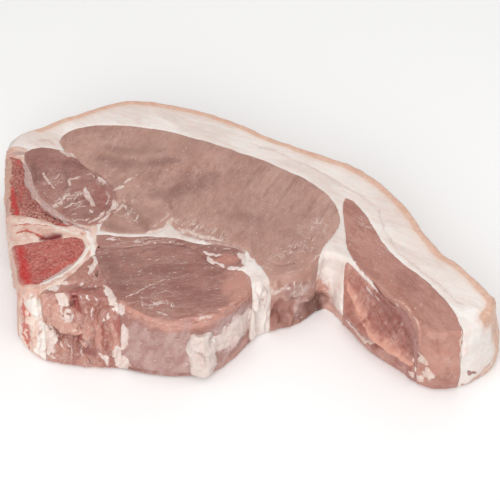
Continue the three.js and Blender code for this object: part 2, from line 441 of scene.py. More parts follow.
# Tiny specks. On the meat they are painted highlights: wet specks and torn fibre ends catching the light. On the rind
# they are its pores.
def makeSpecks():
    tree, given, result = newGroup(
        "glintsAndPores",
        [("Vector", "Vector", None), ("Scale", "Float", 800.0), ("Amount", "Float", 0.2), ("Size", "Float", 0.2)],
        [("Mask", "Float")],
    )
    cellInputs = {"Vector": given["Vector"], "Scale": given["Scale"]}
    cell = addNode(tree, "ShaderNodeTexVoronoi", {"feature": "F1"}, cellInputs)
    parts = addNode(tree, "ShaderNodeSeparateColor", None, {"Color": cell.outputs["Color"]}).outputs
    crowding = between(tree, noise(tree, given["Vector"], 120, 3), 0.38, 0.62, (0.1, 2.0))
    gathered = times(tree, given["Amount"], crowding)
    chosen = calc(tree, "GREATER_THAN", plus(tree, parts[0], gathered), 1.0)
    size = times(tree, given["Size"], plus(tree, parts[1], 0.35))
    spot = between(tree, calc(tree, "SUBTRACT", cell.outputs["Distance"], size), 0.05, -0.08)
    connect(tree, result, {"Mask": times(tree, chosen, spot)})
    return tree


# Small pale flecks of fat, drawn out along the grain and gathered in patches
def makeFlecks():
    tree, given, result = newGroup(
        "fatFlecks",
        [("Vector", "Vector", None), ("Scale", "Float", 420.0), ("Amount", "Float", 0.3)],
        [("Mask", "Float")],
    )
    spots = noise(tree, given["Vector"], given["Scale"], 2.5, 0.6, 0.3)
    region = noise(tree, given["Vector"], 70, 2)
    start = calc(tree, "SUBTRACT", 0.83, times(tree, given["Amount"], times(tree, region, 0.6)))
    mask = between(tree, calc(tree, "SUBTRACT", spots, start), 0.0, 0.05)
    connect(tree, result, {"Mask": mask})
    return tree


# A painted value with its soft edge broken up, so that fat ends in an irregular crisp line
def makeTornEdge():
    tree, given, result = newGroup(
        "tornEdge",
        [("Paint", "Float", 0.0), ("Vector", "Vector", None), ("Rough", "Float", 0.5)],
        [("Mask", "Float")],
    )
    ragged = calc(tree, "SUBTRACT", noise(tree, given["Vector"], 900, 4, 0.65), 0.5)
    value = plus(tree, given["Paint"], times(tree, ragged, given["Rough"]))
    connect(tree, result, {"Mask": between(tree, value, 0.3, 0.6)})
    return tree


# Wet surface: roughness that breaks the shine into patches
def makeMoist():
    tree, given, result = newGroup(
        "moistSurface",
        [("Vector", "Vector", None), ("Dry", "Float", 0.6), ("Wet", "Float", 0.3)],
        [("Roughness", "Float"), ("Relief", "Float")],
    )
    patches = between(tree, noise(tree, given["Vector"], 240, 4, 0.6), 0.35, 0.7)
    rough = addNode(tree, "ShaderNodeMix", None, {0: patches, 2: given["Dry"], 3: given["Wet"]}).outputs[0]
    connect(tree, result, {"Roughness": rough, "Relief": noise(tree, given["Vector"], 420, 4, 0.6)})
    return tree


# Spongy sawn bone: cream crumbs and dark pits in red marrow
def makeMarrow():
    tree, given, result = newGroup(
        "marrowSpeckle",
        [("Vector", "Vector", None), ("Scale", "Float", 900.0)],
        [("Crumbs", "Float"), ("Pits", "Float"), ("Relief", "Float")],
    )
    speck = noise(tree, given["Vector"], given["Scale"], 2.5, 0.75, 0.2)
    cells = addNode(tree, "ShaderNodeTexVoronoi", {"feature": "DISTANCE_TO_EDGE"},
                    {"Vector": given["Vector"], "Scale": given["Scale"]}).outputs["Distance"]
    crumbs = between(tree, speck, 0.5, 0.66)
    walls = times(tree, between(tree, cells, 0.14, 0.02), between(tree, speck, 0.4, 0.55))
    crumbs = calc(tree, "MAXIMUM", crumbs, times(tree, walls, 0.7))
    pits = between(tree, speck, 0.46, 0.32)
    connect(tree, result, {"Crumbs": crumbs, "Pits": pits, "Relief": calc(tree, "SUBTRACT", crumbs, pits)})
    return tree


meatGrain = makeMeatGrain()
gristleWeb = makeWeb()
glintsAndPores = makeSpecks()
fatFlecks = makeFlecks()
tornEdge = makeTornEdge()
moistSurface = makeMoist()
marrowSpeckle = makeMarrow()


def startMaterial(name):
    material = bpy.data.materials.new(name)
    material.use_nodes = True
    tree = material.node_tree
    vector = addNode(tree, "ShaderNodeTexCoord").outputs["Object"]
    painted = addNode(tree, "ShaderNodeAttribute", {"attribute_name": "paint"})
    marks = addNode(tree, "ShaderNodeSeparateColor", None, {"Color": painted.outputs["Color"]}).outputs
    zoned = addNode(tree, "ShaderNodeAttribute", {"attribute_name": "zone"})
    zones = addNode(tree, "ShaderNodeSeparateColor", None, {"Color": zoned.outputs["Color"]}).outputs
    found = {
        "vector": vector, "fat": marks[0], "red": marks[1], "dark": marks[2], "skin": painted.outputs["Alpha"],
        "near": zones[0], "web": zones[1], "wall": zones[2], "seam": zoned.outputs["Alpha"],
    }
    return material, tree, tree.nodes["Principled BSDF"], found


def finishMaterial(tree, shader, colour, roughness, relief, bump, soft, coat):
    tree.links.new(colour, shader.inputs["Base Color"])
    tree.links.new(roughness, shader.inputs["Roughness"])
    normal = addNode(tree, "ShaderNodeBump", None, {"Height": relief, "Strength": bump, "Distance": bumpDepth})
    tree.links.new(normal.outputs["Normal"], shader.inputs["Normal"])
    shader.inputs["Subsurface Weight"].default_value = soft
    shader.inputs["Subsurface Radius"].default_value = (1.0, 0.45, 0.35)
    shader.inputs["Subsurface Scale"].default_value = scatterDepth
    shader.inputs["Coat Weight"].default_value = coat
    shader.inputs["Coat Roughness"].default_value = 0.22


def blendBy(tree, strength, mask, colour, over):
    return blendColour(tree, times(tree, mask, strength), colour, linear(over))


def tornMask(tree, vector, paint, rough):
    return useGroup(tree, tornEdge, {"Paint": paint, "Vector": vector, "Rough": rough})["Mask"]


def meatMaterial(name, looks):
    material, tree, shader, found = startMaterial(name)
    vector = found["vector"]
    along = stretch(tree, vector, looks["grainTurn"], looks["grainStretch"])
    grain = useGroup(tree, meatGrain, {"Vector": along, "Bundles": looks["bundles"]})
    fleckInputs = {"Vector": along, "Scale": looks["fleckScale"], "Amount": looks["fleckAmount"]}
    flecks = useGroup(tree, fatFlecks, fleckInputs)
    paintedGlints = useGroup(tree, glintsAndPores, {"Vector": along, "Scale": 1300.0, "Amount": looks["paintedGlints"]})["Mask"]
    moist = useGroup(tree, moistSurface, {"Vector": vector, "Dry": 0.56, "Wet": 0.3})

    colour = blendColour(tree, between(tree, grain["Tone"], 0.39, 0.61), linear(looks["dark"]), linear(looks["pale"]))
    broad = between(tree, noise(tree, vector, 34, 3, 0.5), 0.38, 0.62)
    colour = blendBy(tree, 0.5, broad, colour, looks["base"])
    blush = between(tree, noise(tree, vector, 75, 4, 0.6), 0.48, 0.7)
    colour = blendBy(tree, looks["blush"], blush, colour, looks["blushColour"])
    colour = blendBy(tree, looks["threads"], grain["Threads"], colour, looks["fat"])
    colour = blendBy(tree, looks["edge"], between(tree, found["near"], 0.62, 0.98), colour, looks["edgeColour"])
    colour = blendBy(tree, 0.9, found["red"], colour, looks["red"])
    # the dark channel: darker tissue, and painted shade in nooks, grooves and hollows
    colour = blendBy(tree, 0.9, found["dark"], colour, looks["darkTissueAndShade"])
    # skin of sinew over a wall
    skin = tornMask(tree, vector, found["skin"], 0.7)
    sinew = stretch(tree, vector, looks["skinTurn"], looks["skinStretch"])
    skinTone = between(tree, noise(tree, sinew, 260, 5, 0.65, 0.4), 0.34, 0.66)
    skinColour = blendColour(tree, skinTone, linear(looks["skinDark"]), linear(looks["skinPale"]))
    colour = blendColour(tree, times(tree, skin, 0.93), colour, skinColour)
    # a membrane shows as a thin line where two muscles meet
    patchy = between(tree, noise(tree, vector, 160, 3), 0.4, 0.6)
    line = times(tree, between(tree, found["seam"], 0.84, 0.93), patchy)
    colour = blendBy(tree, looks["membrane"], line, colour, looks["membraneColour"])
    coarse = useGroup(tree, gristleWeb, {"Vector": vector, "Scale": 170.0, "Width": 0.022})["Mask"]
    close = useGroup(tree, gristleWeb, {"Vector": along, "Scale": 430.0, "Width": 0.045})["Mask"]
    web = times(tree, calc(tree, "MAXIMUM", coarse, close), plus(tree, found["web"], looks["web"]))
    colour = blendBy(tree, 0.8, web, colour, looks["fat"])
    colour = blendBy(tree, looks["fleckStrength"], flecks["Mask"], colour, looks["fat"])
    # painted highlight: pale specks stand for the glints on the wet meat
    colour = blendBy(tree, 0.5, paintedGlints, colour, (244, 226, 216))
    fat = tornMask(tree, vector, found["fat"], 0.75)
    fatTone = between(tree, noise(tree, sinew, 700, 4, 0.65), 0.34, 0.66)
    fatColour = blendColour(tree, fatTone, linear(looks["fatShade"]), linear(looks["fat"]))
    colour = blendColour(tree, times(tree, fat, 0.9), colour, fatColour)

    relief = plus(tree, times(tree, grain["Relief"], 0.6), times(tree, moist["Relief"], 0.7))
    relief = plus(tree, relief, times(tree, calc(tree, "MAXIMUM", fat, paintedGlints), 0.45))
    finishMaterial(tree, shader, colour, moist["Roughness"], relief, looks["bump"], 0.2, 0.2)
    return material


def fatMaterial(name, looks):
    material, tree, shader, found = startMaterial(name)
    vector = found["vector"]
    along = stretch(tree, vector, looks["grainTurn"], looks["grainStretch"])
    moist = useGroup(tree, moistSurface, {"Vector": vector, "Dry": 0.52, "Wet": 0.34})
    tone = between(tree, noise(tree, along, 130, 5, 0.62, 0.4), 0.36, 0.66)
    colour = blendColour(tree, tone, linear(looks["dark"]), linear(looks["pale"]))
    fine = between(tree, noise(tree, along, 800, 4, 0.68), 0.38, 0.66)
    colour = blendBy(tree, 0.4, fine, colour, looks["base"])
    cleft = useGroup(tree, gristleWeb, {"Vector": along, "Scale": 240.0, "Width": 0.03})["Mask"]
    colour = blendBy(tree, looks["clefts"], cleft, colour, looks["cleftColour"])
    colour = blendBy(tree, looks["edge"], between(tree, found["near"], 0.72, 1.0), colour, looks["edgeColour"])
    torn = tornMask(tree, vector, found["fat"], 0.5)
    white = calc(tree, "MAXIMUM", torn, times(tree, found["fat"], 0.8))
    colour = blendColour(tree, white, colour, linear(looks["white"]))
    pink = tornMask(tree, vector, found["skin"], 0.8)
    pink = calc(tree, "MAXIMUM", times(tree, pink, 0.85), times(tree, found["skin"], 0.6))
    pinkTone = blendColour(tree, fine, linear(looks["pinkDark"]), linear(looks["pinkPale"]))
    colour = blendColour(tree, pink, colour, pinkTone)
    stain = tornMask(tree, vector, found["red"], 0.9)
    colour = blendBy(tree, 0.85, stain, colour, looks["red"])
    # the dark channel: thin dark lines, and painted shade on the fat in the nook by the eye
    colour = blendBy(tree, 1.0, found["dark"], colour, looks["darkTissueAndShade"])
    # rind on the outside, with a warmer tint in the fat below it
    rindTone = between(tree, noise(tree, vector, 330, 5, 0.7), 0.3, 0.68)
    pores = useGroup(tree, glintsAndPores, {"Vector": vector, "Scale": 520.0, "Amount": 0.45, "Size": 0.2})["Mask"]
    rindColour = blendColour(tree, rindTone, linear(looks["rindDark"]), linear(looks["rindPale"]))
    rindColour = blendBy(tree, 0.35, pores, rindColour, looks["rindPore"])
    colour = blendBy(tree, 0.5, between(tree, found["web"], 0.42, 0.78), colour, looks["rindPale"])
    rind = between(tree, found["web"], 0.74, 0.79)
    inner = times(tree, between(tree, found["web"], 0.68, 0.75), calc(tree, "SUBTRACT", 1.0, rind))
    colour = blendBy(tree, looks["rindLine"], inner, colour, looks["rindEdge"])
    colour = blendColour(tree, rind, colour, rindColour)
    relief = plus(tree, times(tree, fine, 0.6), times(tree, moist["Relief"], 0.8))
    relief = calc(tree, "SUBTRACT", relief, times(tree, calc(tree, "MAXIMUM", cleft, pores), 0.4))
    finishMaterial(tree, shader, colour, moist["Roughness"], relief, looks["bump"], 0.28, 0.15)
    return material


def boneMaterial(name, looks):
    material, tree, shader, found = startMaterial(name)
    vector = found["vector"]
    marrow = useGroup(tree, marrowSpeckle, {"Vector": vector, "Scale": looks["cells"]})
    moist = useGroup(tree, moistSurface, {"Vector": vector, "Dry": 0.56, "Wet": 0.3})
    tone = between(tree, noise(tree, vector, 230, 4, 0.65), 0.38, 0.64)
    colour = blendColour(tree, tone, linear(looks["dark"]), linear(looks["base"]))
    redder = times(tree, found["red"], between(tree, noise(tree, vector, 900, 3, 0.75), 0.36, 0.56, (0.4, 1)))
    colour = blendBy(tree, 0.95, redder, colour, looks["red"])
    creamy = plus(tree, times(tree, found["fat"], 0.9), looks["crumbs"])
    crumbs = times(tree, marrow["Crumbs"], calc(tree, "SUBTRACT", creamy, times(tree, found["red"], 0.4)))
    crumbs = addNode(tree, "ShaderNodeClamp", None, {"Value": crumbs}).outputs[0]
    colour = blendBy(tree, 1.0, crumbs, colour, looks["pale"])
    colour = blendBy(tree, looks["pits"], marrow["Pits"], colour, looks["pit"])
    dark = tornMask(tree, vector, found["dark"], 1.5)
    colour = blendBy(tree, 0.9, dark, colour, looks["darkTissueAndShade"])
    fat = tornMask(tree, vector, found["fat"], 0.9)
    colour = blendBy(tree, 0.7, fat, colour, looks["pale"])
    gristle = tornMask(tree, vector, found["skin"], 0.5)
    colour = blendBy(tree, 0.9, gristle, colour, looks["gristle"])
    rim = between(tree, found["seam"], 0.8, 0.93)
    colour = blendBy(tree, looks["rim"], rim, colour, looks["rimColour"])
    sideTone = between(tree, noise(tree, vector, 190, 4, 0.7), 0.38, 0.62)
    sideColour = blendColour(tree, sideTone, linear(looks["wallDark"]), linear(looks["wallPale"]))
    sideStain = between(tree, noise(tree, vector, 520, 4, 0.7), 0.54, 0.68)
    sideColour = blendBy(tree, 0.32, sideStain, sideColour, looks["red"])
    colour = blendColour(tree, times(tree, found["wall"], looks["wall"]), colour, sideColour)
    relief = plus(tree, times(tree, marrow["Relief"], 0.7), times(tree, moist["Relief"], 0.5))
    finishMaterial(tree, shader, colour, moist["Roughness"], relief, looks["bump"], 0.15, 0.15)
    return material


# Torn flesh stands in soft pillows with creases between them.
def pillows(points, size, seed):
    return 1 - 2 * np.abs(lumps(points, size, seed)) ** 0.8


usualGrow = 0.48     # mm that a piece swells sideways into its seams
usualCrease = 0.12   # mm that its cut faces sink there


# Builds one piece of the chop over its frame node.
def makePiece(name, settings, rindOf=None):
    node = settings["node"]
    piece = copyNode(name, node)
    applyModifier(piece, "REMESH", mode="VOXEL", voxel_size=settings["voxel"] * mm, use_smooth_shade=True)
    applyModifier(piece, "SMOOTH", factor=0.5, iterations=2)
    mesh = piece.data
    points, normals = readPoints(mesh), readNormals(mesh)
    zone = zonesOf(node, points, normals, None if rindOf is None else rindOf(points))
    grown = settings.get("grow", usualGrow) * (0.4 + 0.6 * smoothStep(zone[:, 3], 0.4, 0.8))
    points[:, :2] += normals[:, :2] * (grown * mm)[:, None]
    # the cut faces sink a little where two pieces meet
    crease = np.sign(normals[:, 2]) * (1 - zone[:, 2]) * smoothStep(zone[:, 3], 0.45, 1.0)
    points[:, 2] -= settings.get("crease", usualCrease) * mm * crease
    writePoints(mesh, wander(points))
    sculpt(mesh, settings.get("shape", []))
    for kind, size, depth in settings.get("lumps", []):
        points, normals = readPoints(mesh), readNormals(mesh)
        free = settings.get("free", zone[:, 2] * (1 - smoothStep(zone[:, 3], 0.45, 0.85)))
        free = free * (0.35 + 0.65 * smoothStep(points[:, 2], low[2], low[2] + 4 * mm))
        spots = points * (1, 1, settings.get("tall", 1.0))
        height = (pillows if kind == "pillow" else lumps)(spots, size * mm, 41)
        writePoints(mesh, points + normals * (free * depth * mm * height)[:, None])
    paint(mesh, settings.get("marks", []), zone)
    points = readPoints(mesh)
    points[:, 2] = np.maximum(points[:, 2], low[2])
    writePoints(mesh, points)
    mesh.materials.append(settings["material"])
    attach(piece, "root")
    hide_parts(node)
    print(name, len(mesh.polygons), "faces")


# Pale lines that run over the joint of the loin eye and the back muscle
jointLines = strokesIn({
    "fat plan": [
        (0.95, 1.8, [(11.4, 77.5), (12.9, 75.4), (14.9, 73.6)]), (0.6, 0.8, [(17, 70.4), (18.8, 67.4), (19.7, 64.8)]),
        (0.9, 1.2, [(19.8, 64.6), (21.2, 62.8)]), (0.95, 2.0, [(23.5, 54.9), (23.5, 52.6), (23, 51.1)]),
        (0.8, 1.4, [(23.3, 59.2), (24.5, 60.5), (25.1, 61.1)]), (0.55, 0.7, [(23.2, 50.1), (24.7, 47.8)]),
    ],
    "web plan": [(1.0, 3.5, [(20.1, 63.9), (21.2, 62.6)])],
})

# Loin eye

loinLooks = {
    # the darkest colour serves the dark tissue and the painted shade of the nook below the eye
    "base": (184, 143, 130), "pale": (198, 157, 143), "dark": (166, 123, 112), "darkTissueAndShade": (112, 74, 66),
    "fat": (232, 213, 203), "fatShade": (214, 184, 172), "red": (168, 108, 98),
    "edgeColour": (208, 172, 160), "edge": 0.4, "blush": 0.3, "blushColour": (196, 148, 132),
    "membrane": 0.45, "membraneColour": (212, 184, 176),
    "skinPale": (208, 180, 174), "skinDark": (166, 122, 114),
    "bundles": 520.0, "threads": 0.12, "fleckScale": 480.0, "fleckAmount": 0.3, "fleckStrength": 0.35,
    "paintedGlints": 0.14, "web": 0.05,
    "grainTurn": (0, 0, 62), "grainStretch": (0.5, 1.0, 1.0), "skinTurn": (0, 35, 0), "skinStretch": (1, 1, 0.3),
    "bump": 0.5,
}
loin = {
    "node": "loin_muscle", "slot": "loin_meat", "voxel": 0.52,
    "material": meatMaterial("loinMeat", loinLooks),
    "shape": [
        ("front", 4.2, 8, [(56, 35), (60.5, 42)]),
        ("front", 2.6, 5, [(60, 12), (63.6, 28)]),
        ("front", -0.8, 2.4, [(55.4, 88), (58.5, 84)]),
        ("plan", 0.35, 2.0, [(35, 55)]),
        ("plan", 0.25, 1.2, [(57.3, 67), (53.3, 56.6)]),
        ("plan", 0.25, 1.2, [(59.9, 64.4), (56.2, 52.4)]),
        ("plan", 0.25, 1.2, [(62.1, 60.5), (58.6, 50)]),
        ("plan", 0.3, 1.0, [(17.6, 69.8), (19.6, 66), (21.2, 62.6), (22.8, 62.2), (25.4, 66.6)]),
        ("plan", 0.5, 0.9, [(54.3, 29.5), (57, 28.3), (60, 29.6)]),
        ("plan", 0.4, 0.8, [(58.4, 34.2), (61.6, 35.8), (63.2, 40)]),
    ],
    "lumps": [("pillow", 6, 0.7), ("soft", 2.4, 0.35)],
    "marks": jointLines + strokesIn({
        "dark plan": [
            (0.18, 6, [(27.6, 52.8), (31.7, 49)]), (0.18, 7, [(28.3, 67), (32.4, 64.4)]),
            (0.5, 1.2, [(34.3, 54.9), (35.2, 51)]), (0.22, 0.9, [(57.3, 67), (53.3, 56.6)]),
            (0.22, 0.9, [(59.9, 64.4), (56.2, 52.4)]), (0.22, 0.9, [(62.1, 60.5), (58.6, 50)]),
            (0.2, 0.9, [(65.2, 58.3), (61, 46)]), (0.25, 0.9, [(67, 53), (64.1, 44)]),
            (0.25, 0.9, [(53.4, 70), (50.1, 61)]), (0.2, 0.8, [(50, 72), (46.5, 62)]),
            (0.42, 5, [(19.8, 73.1), (28.2, 70), (35.4, 72.2)]), (0.42, 8, [(31, 57), (37.6, 59.2), (43.7, 65.7)]),
            (0.42, 4.5, [(26.2, 52.8), (30.5, 43)]), (0.3, 4, [(21, 78), (26, 76), (33, 77)]),
            (0.25, 6, [(45, 50), (53, 46)]), (0.3, 3.5, [(21.8, 45), (26.5, 42)]),
            (0.3, 0.7, [(58.4, 34.2), (61.6, 35.8), (63.2, 40)]), (0.25, 0.7, [(54.3, 29.5), (57, 28.3), (60, 29.6)]),
        ],
        "fat plan": [
            (0.5, 0.7, [(23.3, 82.9), (22, 76.6)]), (0.75, 1.1, [(25.3, 62.2), (25.9, 63.7), (26.7, 64.8)]),
            (0.65, 0.8, [(26.9, 65.2), (27.9, 66.1)]), (0.75, 0.9, [(24, 49.9), (25.2, 52.8), (26, 51.3)]),
            (0.6, 0.8, [(27.6, 46.5), (28.7, 48.6)]), (0.98, 2.2, [(30.5, 41.4), (33.2, 42.6), (35.2, 47.4)]),
            (0.5, 1.2, [(31, 43.6), (33.6, 47.4), (34.6, 51)]), (0.55, 3.2, [(36.4, 43.5), (41.7, 39.8), (45, 38)]),
            (0.9, 0.6, [(25, 52.8)]), (0.9, 0.55, [(26.1, 49.9)]), (0.9, 0.6, [(27.4, 45.7)]),
            (0.8, 0.5, [(28.8, 44)]), (0.8, 0.6, [(24.5, 42.8)]), (0.55, 0.45, [(24.2, 51), (26, 55.5)]),
            (0.5, 0.45, [(25.4, 48), (27.8, 53)]), (0.5, 1.0, [(52.8, 28), (54.6, 26.4), (55.8, 25.4)]),
            (0.55, 0.8, [(57.6, 25), (60, 25.6), (61.7, 27.4)]), (0.6, 0.8, [(63, 29.8), (65, 33)]),
            (0.5, 0.5, [(58, 27.5), (62, 30.5)]), (0.55, 0.6, [(63, 38), (65.2, 33.4)]),
        ],
        "web plan": [
            (0.8, 5.0, [(25.2, 53.2), (26.6, 54.1)]), (1.0, 5.0, [(36, 46), (42, 43), (46, 39)]),
            (1.0, 4.5, [(25, 52), (28, 46)]), (0.8, 8, [(57, 33), (62, 37), (65, 46)]),
        ],
        "fat front": [
            (0.9, 2.6, [(54.2, 88), (55.4, 80), (56.6, 78)]), (0.7, 1.8, [(56.8, 84), (58.6, 78)]),
            (0.6, 1.1, [(59.4, 88), (59.8, 72), (59.4, 58)]), (0.6, 1.1, [(61, 86), (61.4, 66), (61.2, 46)]),
            (0.5, 1.0, [(62.4, 84), (62.6, 62)]),
        ],
        "red front": [(0.8, 9, [(54.5, 60), (56, 35), (58, 10)])],
        # painted shade in the recess under the eye's lip and in the dark nook beside the fat
        "dark front": [(0.4, 5, [(56.5, 26), (58.5, 8)]), (1.0, 8.5, [(63.8, 0), (63.4, 34)])],
        "skin front": [(0.9, 8, [(58.4, 80), (60.6, 64), (62.6, 66)]), (0.7, 4.5, [(60.4, 60), (61, 34), (60, 12)])],
    }),
}
makePiece("loinEye", loin)

# Back muscle beside the spine

darkMeat = {
    "base": (160, 113, 103), "pale": (178, 132, 120), "dark": (142, 94, 86), "darkTissueAndShade": (116, 76, 68),
    "fat": (232, 214, 206), "fatShade": (206, 172, 162), "red": (164, 96, 88),
    "edgeColour": (196, 154, 143), "edge": 0.4, "blush": 0.35, "blushColour": (178, 122, 109),
    "membrane": 0.55, "membraneColour": (206, 176, 168),
    "skinPale": (214, 194, 190), "skinDark": (176, 128, 122),
    "bundles": 620.0, "threads": 0.18, "fleckScale": 520.0, "fleckAmount": 0.36, "fleckStrength": 0.45,
    "paintedGlints": 0.16, "web": 0.1,
    "grainTurn": (0, 0, 20), "grainStretch": (0.6, 1.0, 1.0), "skinTurn": (0, 20, 0), "skinStretch": (1, 1, 0.35),
    "bump": 0.5,
}
backMuscle = {
    "node": "back_muscle", "slot": "dark_meat", "voxel": 0.31, "crease": 0.06,
    "material": meatMaterial("backMeat", darkMeat),
    "shape": [
        ("plan", 0.35, 1.2, [(12.4, 68.7), (13.4, 65.7), (13.4, 62.2), (12.8, 59.2)]),
        ("plan", 0.35, 1.4, [(18.2, 60), (18.8, 56.6), (19.6, 54)]),
        ("plan", 0.25, 0.9, [(14.2, 62.4), (16.8, 64.6), (18.6, 64)]),
        ("plan", 0.25, 1.6, [(7.4, 69), (8, 64), (9.6, 60)]),
    ],
    "marks": jointLines + strokesIn({
        "fat plan": [
            (0.8, 0.9, [(8.1, 67), (9.3, 63.9), (10.9, 60)]), (0.6, 0.7, [(11.8, 66.3), (10.9, 63.5)]),
            (0.85, 1.3, [(14.1, 64.4), (13.9, 61.3)]), (0.8, 1.1, [(14.2, 63.9), (15.2, 64.8), (16.2, 65.2)]),
            (0.6, 0.8, [(16.8, 66.1), (18, 66.7), (19, 64.6)]), (0.8, 1.6, [(12.7, 55.4), (13.3, 56.6), (14, 57.5)]),
            (0.5, 0.8, [(15.2, 58.6), (15.8, 56.8)]), (0.45, 2.2, [(15.2, 52.6), (16.8, 53.4)]),
            (0.9, 2.0, [(11.1, 52.8), (11.6, 52.6)]),
            (0.65, 0.8, [(13.1, 51.6), (14.4, 52.8), (15.6, 54.1), (17.6, 54.9)]),
            (0.6, 0.7, [(14.4, 50.6), (16.2, 52), (17.8, 52.2)]),
            (0.95, 1.9, [(17.3, 59.8), (17.9, 56.6), (18.8, 54.1), (19.2, 52.8)]),
            (0.85, 1.5, [(18.6, 51.1), (19, 50.1)]), (0.65, 0.8, [(21.7, 59.2), (22.1, 55.8), (21.9, 53.2)]),
            (0.9, 1.4, [(22.6, 50.7), (21.9, 48.2), (20.4, 45.6)]),
            (0.8, 1.1, [(21.4, 49.9), (19.9, 47), (18.6, 45.6)]),
            (0.65, 0.8, [(15.1, 46.8), (17.5, 46.3), (18.5, 47.8)]), (0.55, 0.7, [(14.6, 49), (16, 49)]),
            (0.5, 0.7, [(8.6, 58.6), (10, 56.4)]),
        ],
        "dark plan": [
            (0.55, 4.2, [(6.3, 70), (6.8, 66.1), (6.8, 62.6)]),
            (0.45, 1.5, [(12.4, 68.7), (13.4, 65.7), (13.4, 62.2), (12.8, 59.2)]), (0.3, 4, [(12, 72), (17, 69)]),
            (0.35, 3, [(17, 48.4), (20.4, 49)]),
        ],
        "web plan": [(1.0, 6.0, [(11.6, 54), (13.1, 56.2), (16.4, 57)]), (0.7, 4.0, [(9, 62), (12, 63)])],
        "red plan": [(0.45, 5.0, [(19.8, 60.5), (21, 57.5), (20.9, 52.8)])],
    }),
}
makePiece("backMuscle", backMuscle)

# Tenderloin, its wall under silver skin

tenderLooks = dict(darkMeat)
tenderLooks.update({
    "base": (157, 110, 100), "pale": (178, 131, 118), "dark": (140, 93, 85), "red": (208, 152, 137),
    "fleckScale": 560.0, "fleckAmount": 0.42, "fleckStrength": 0.55, "threads": 0.12, "paintedGlints": 0.3, "web": 0.14,
    "grainTurn": (0, 0, 8), "grainStretch": (0.3, 1.0, 1.0), "fat": (238, 223, 216), "fatShade": (220, 196, 188),
    "skinPale": (192, 158, 152), "skinDark": (168, 125, 119), "skinTurn": (0, 25, 0), "skinStretch": (1, 1, 0.4),
})
tenderloin = {
    "node": "tenderloin_muscle", "slot": "dark_meat", "voxel": 0.4,
    "material": meatMaterial("tenderMeat", tenderLooks),
    "shape": [
        ("plan", 0.9, 4.0, [(24, 14), (26.1, 11), (29.7, 7), (34.6, 4.5), (39.4, 4.8), (45.1, 8), (49.5, 14)]),
        ("front", 0.5, 1.0, [(26.8, 9), (29.3, 8.4), (32.5, 8.8), (36, 9.4), (40, 9)]),
        ("front", 0.7, 3, [(46, 50), (48.5, 45)]),
    ],
    "lumps": [("soft", 7, 0.6), ("soft", 2.6, 0.22)],
    "marks": strokesIn({
        "fat plan": [
            (0.6, 0.6, [(26.1, 15.2), (29.5, 18.3), (32.7, 21.5), (34.4, 23.1)]),
            (0.5, 0.5, [(29.4, 19.4), (33.4, 22)]), (0.55, 0.5, [(34.3, 22.3), (36.8, 23.6), (38.7, 24.2)]),
            (0.5, 0.5, [(31.6, 29.4), (34.1, 30.6), (37.1, 29), (41, 29.8)]),
            (0.5, 0.5, [(31.5, 16.4), (34.4, 18), (36.9, 18.3)]),
            (0.45, 0.45, [(28.6, 13.4), (31, 14.4), (34.5, 13.6)]),
            (0.45, 0.45, [(36, 14.6), (39, 15.8), (42.4, 15)]), (0.75, 0.6, [(31.3, 25.4)]),
            (0.5, 0.5, [(28, 25.8), (30, 26.4)]), (0.55, 1.2, [(32.6, 10), (34.8, 9)]),
            (0.5, 1.4, [(40.8, 7.6), (43.4, 8.4)]), (0.7, 0.5, [(23, 25.4)]), (0.7, 0.5, [(25.3, 29.4)]),
        ],
        "web plan": [(0.9, 4, [(28, 14), (36, 12)])],
        "dark plan": [
            (0.42, 6, [(22, 31), (24.6, 25), (26, 19)]), (0.3, 6, [(25.6, 31.4), (29, 29.2)]),
            (0.16, 4, [(31, 8), (36, 6.6), (40, 6.6)]), (0.22, 6, [(30, 27), (38, 26)]),
        ],
        "red plan": [
            (0.45, 5, [(25.5, 12.5), (29.7, 7), (34.6, 4.5), (39.4, 4.5), (45.1, 8), (49.9, 15)]),
            (0.2, 11, [(28, 9), (34.6, 7), (42, 9), (47, 15)]), (0.72, 9, [(46.6, 18), (49.6, 25), (48.5, 13)]),
        ],
        "red front": [
            (0.95, 5.0, [(26, 100), (30, 99), (35, 98), (42, 99), (49, 101)]),
            (0.8, 4.0, [(43.5, 2), (46, 6), (48, 11), (50, 16)]), (0.4, 1.6, [(27, 2), (33, 3), (40, 3)]),
        ],
        "skin front": [(1.0, 21, [(24.4, 42), (34, 44), (42, 50), (48, 58), (52, 60)])],
        "fat front": [
            (0.85, 13, [(44.4, 60), (46.6, 52), (48.8, 58), (50.4, 62)]), (0.5, 0.6, [(44.4, 80), (46.4, 62)]),
            (0.5, 0.6, [(46, 84), (48.4, 62), (49.6, 40)]), (0.45, 0.6, [(44.2, 60), (46.4, 42)]),
            (0.95, 2.4, [(26.4, 76.6), (26.6, 64.9), (26.3, 51.2), (25.8, 37.5)]), (0.95, 4.0, [(26, 22), (26.2, 8)]),
            (0.95, 2.6, [(25.6, 97), (26.2, 90)]), (0.55, 0.6, [(29.1, 59.6), (29.7, 52.7)]),
            (0.5, 0.6, [(30.8, 31), (31.4, 29)]), (0.5, 0.5, [(33, 36), (34.6, 35)]),
            (0.45, 0.5, [(28.6, 84), (33, 80), (37.6, 83)]),
        ],
        # the second stroke is painted shade in the sculpted crease near the foot
        "dark front": [
            (0.5, 0.9, [(25.4, 92), (26.1, 97)]), (0.4, 0.9, [(27.2, 7.5), (31.2, 8.4), (35.6, 8.8), (40, 9)]),
        ],
    }),
}
makePiece("tenderloin", tenderloin)

# Thin chain muscle over the tenderloin

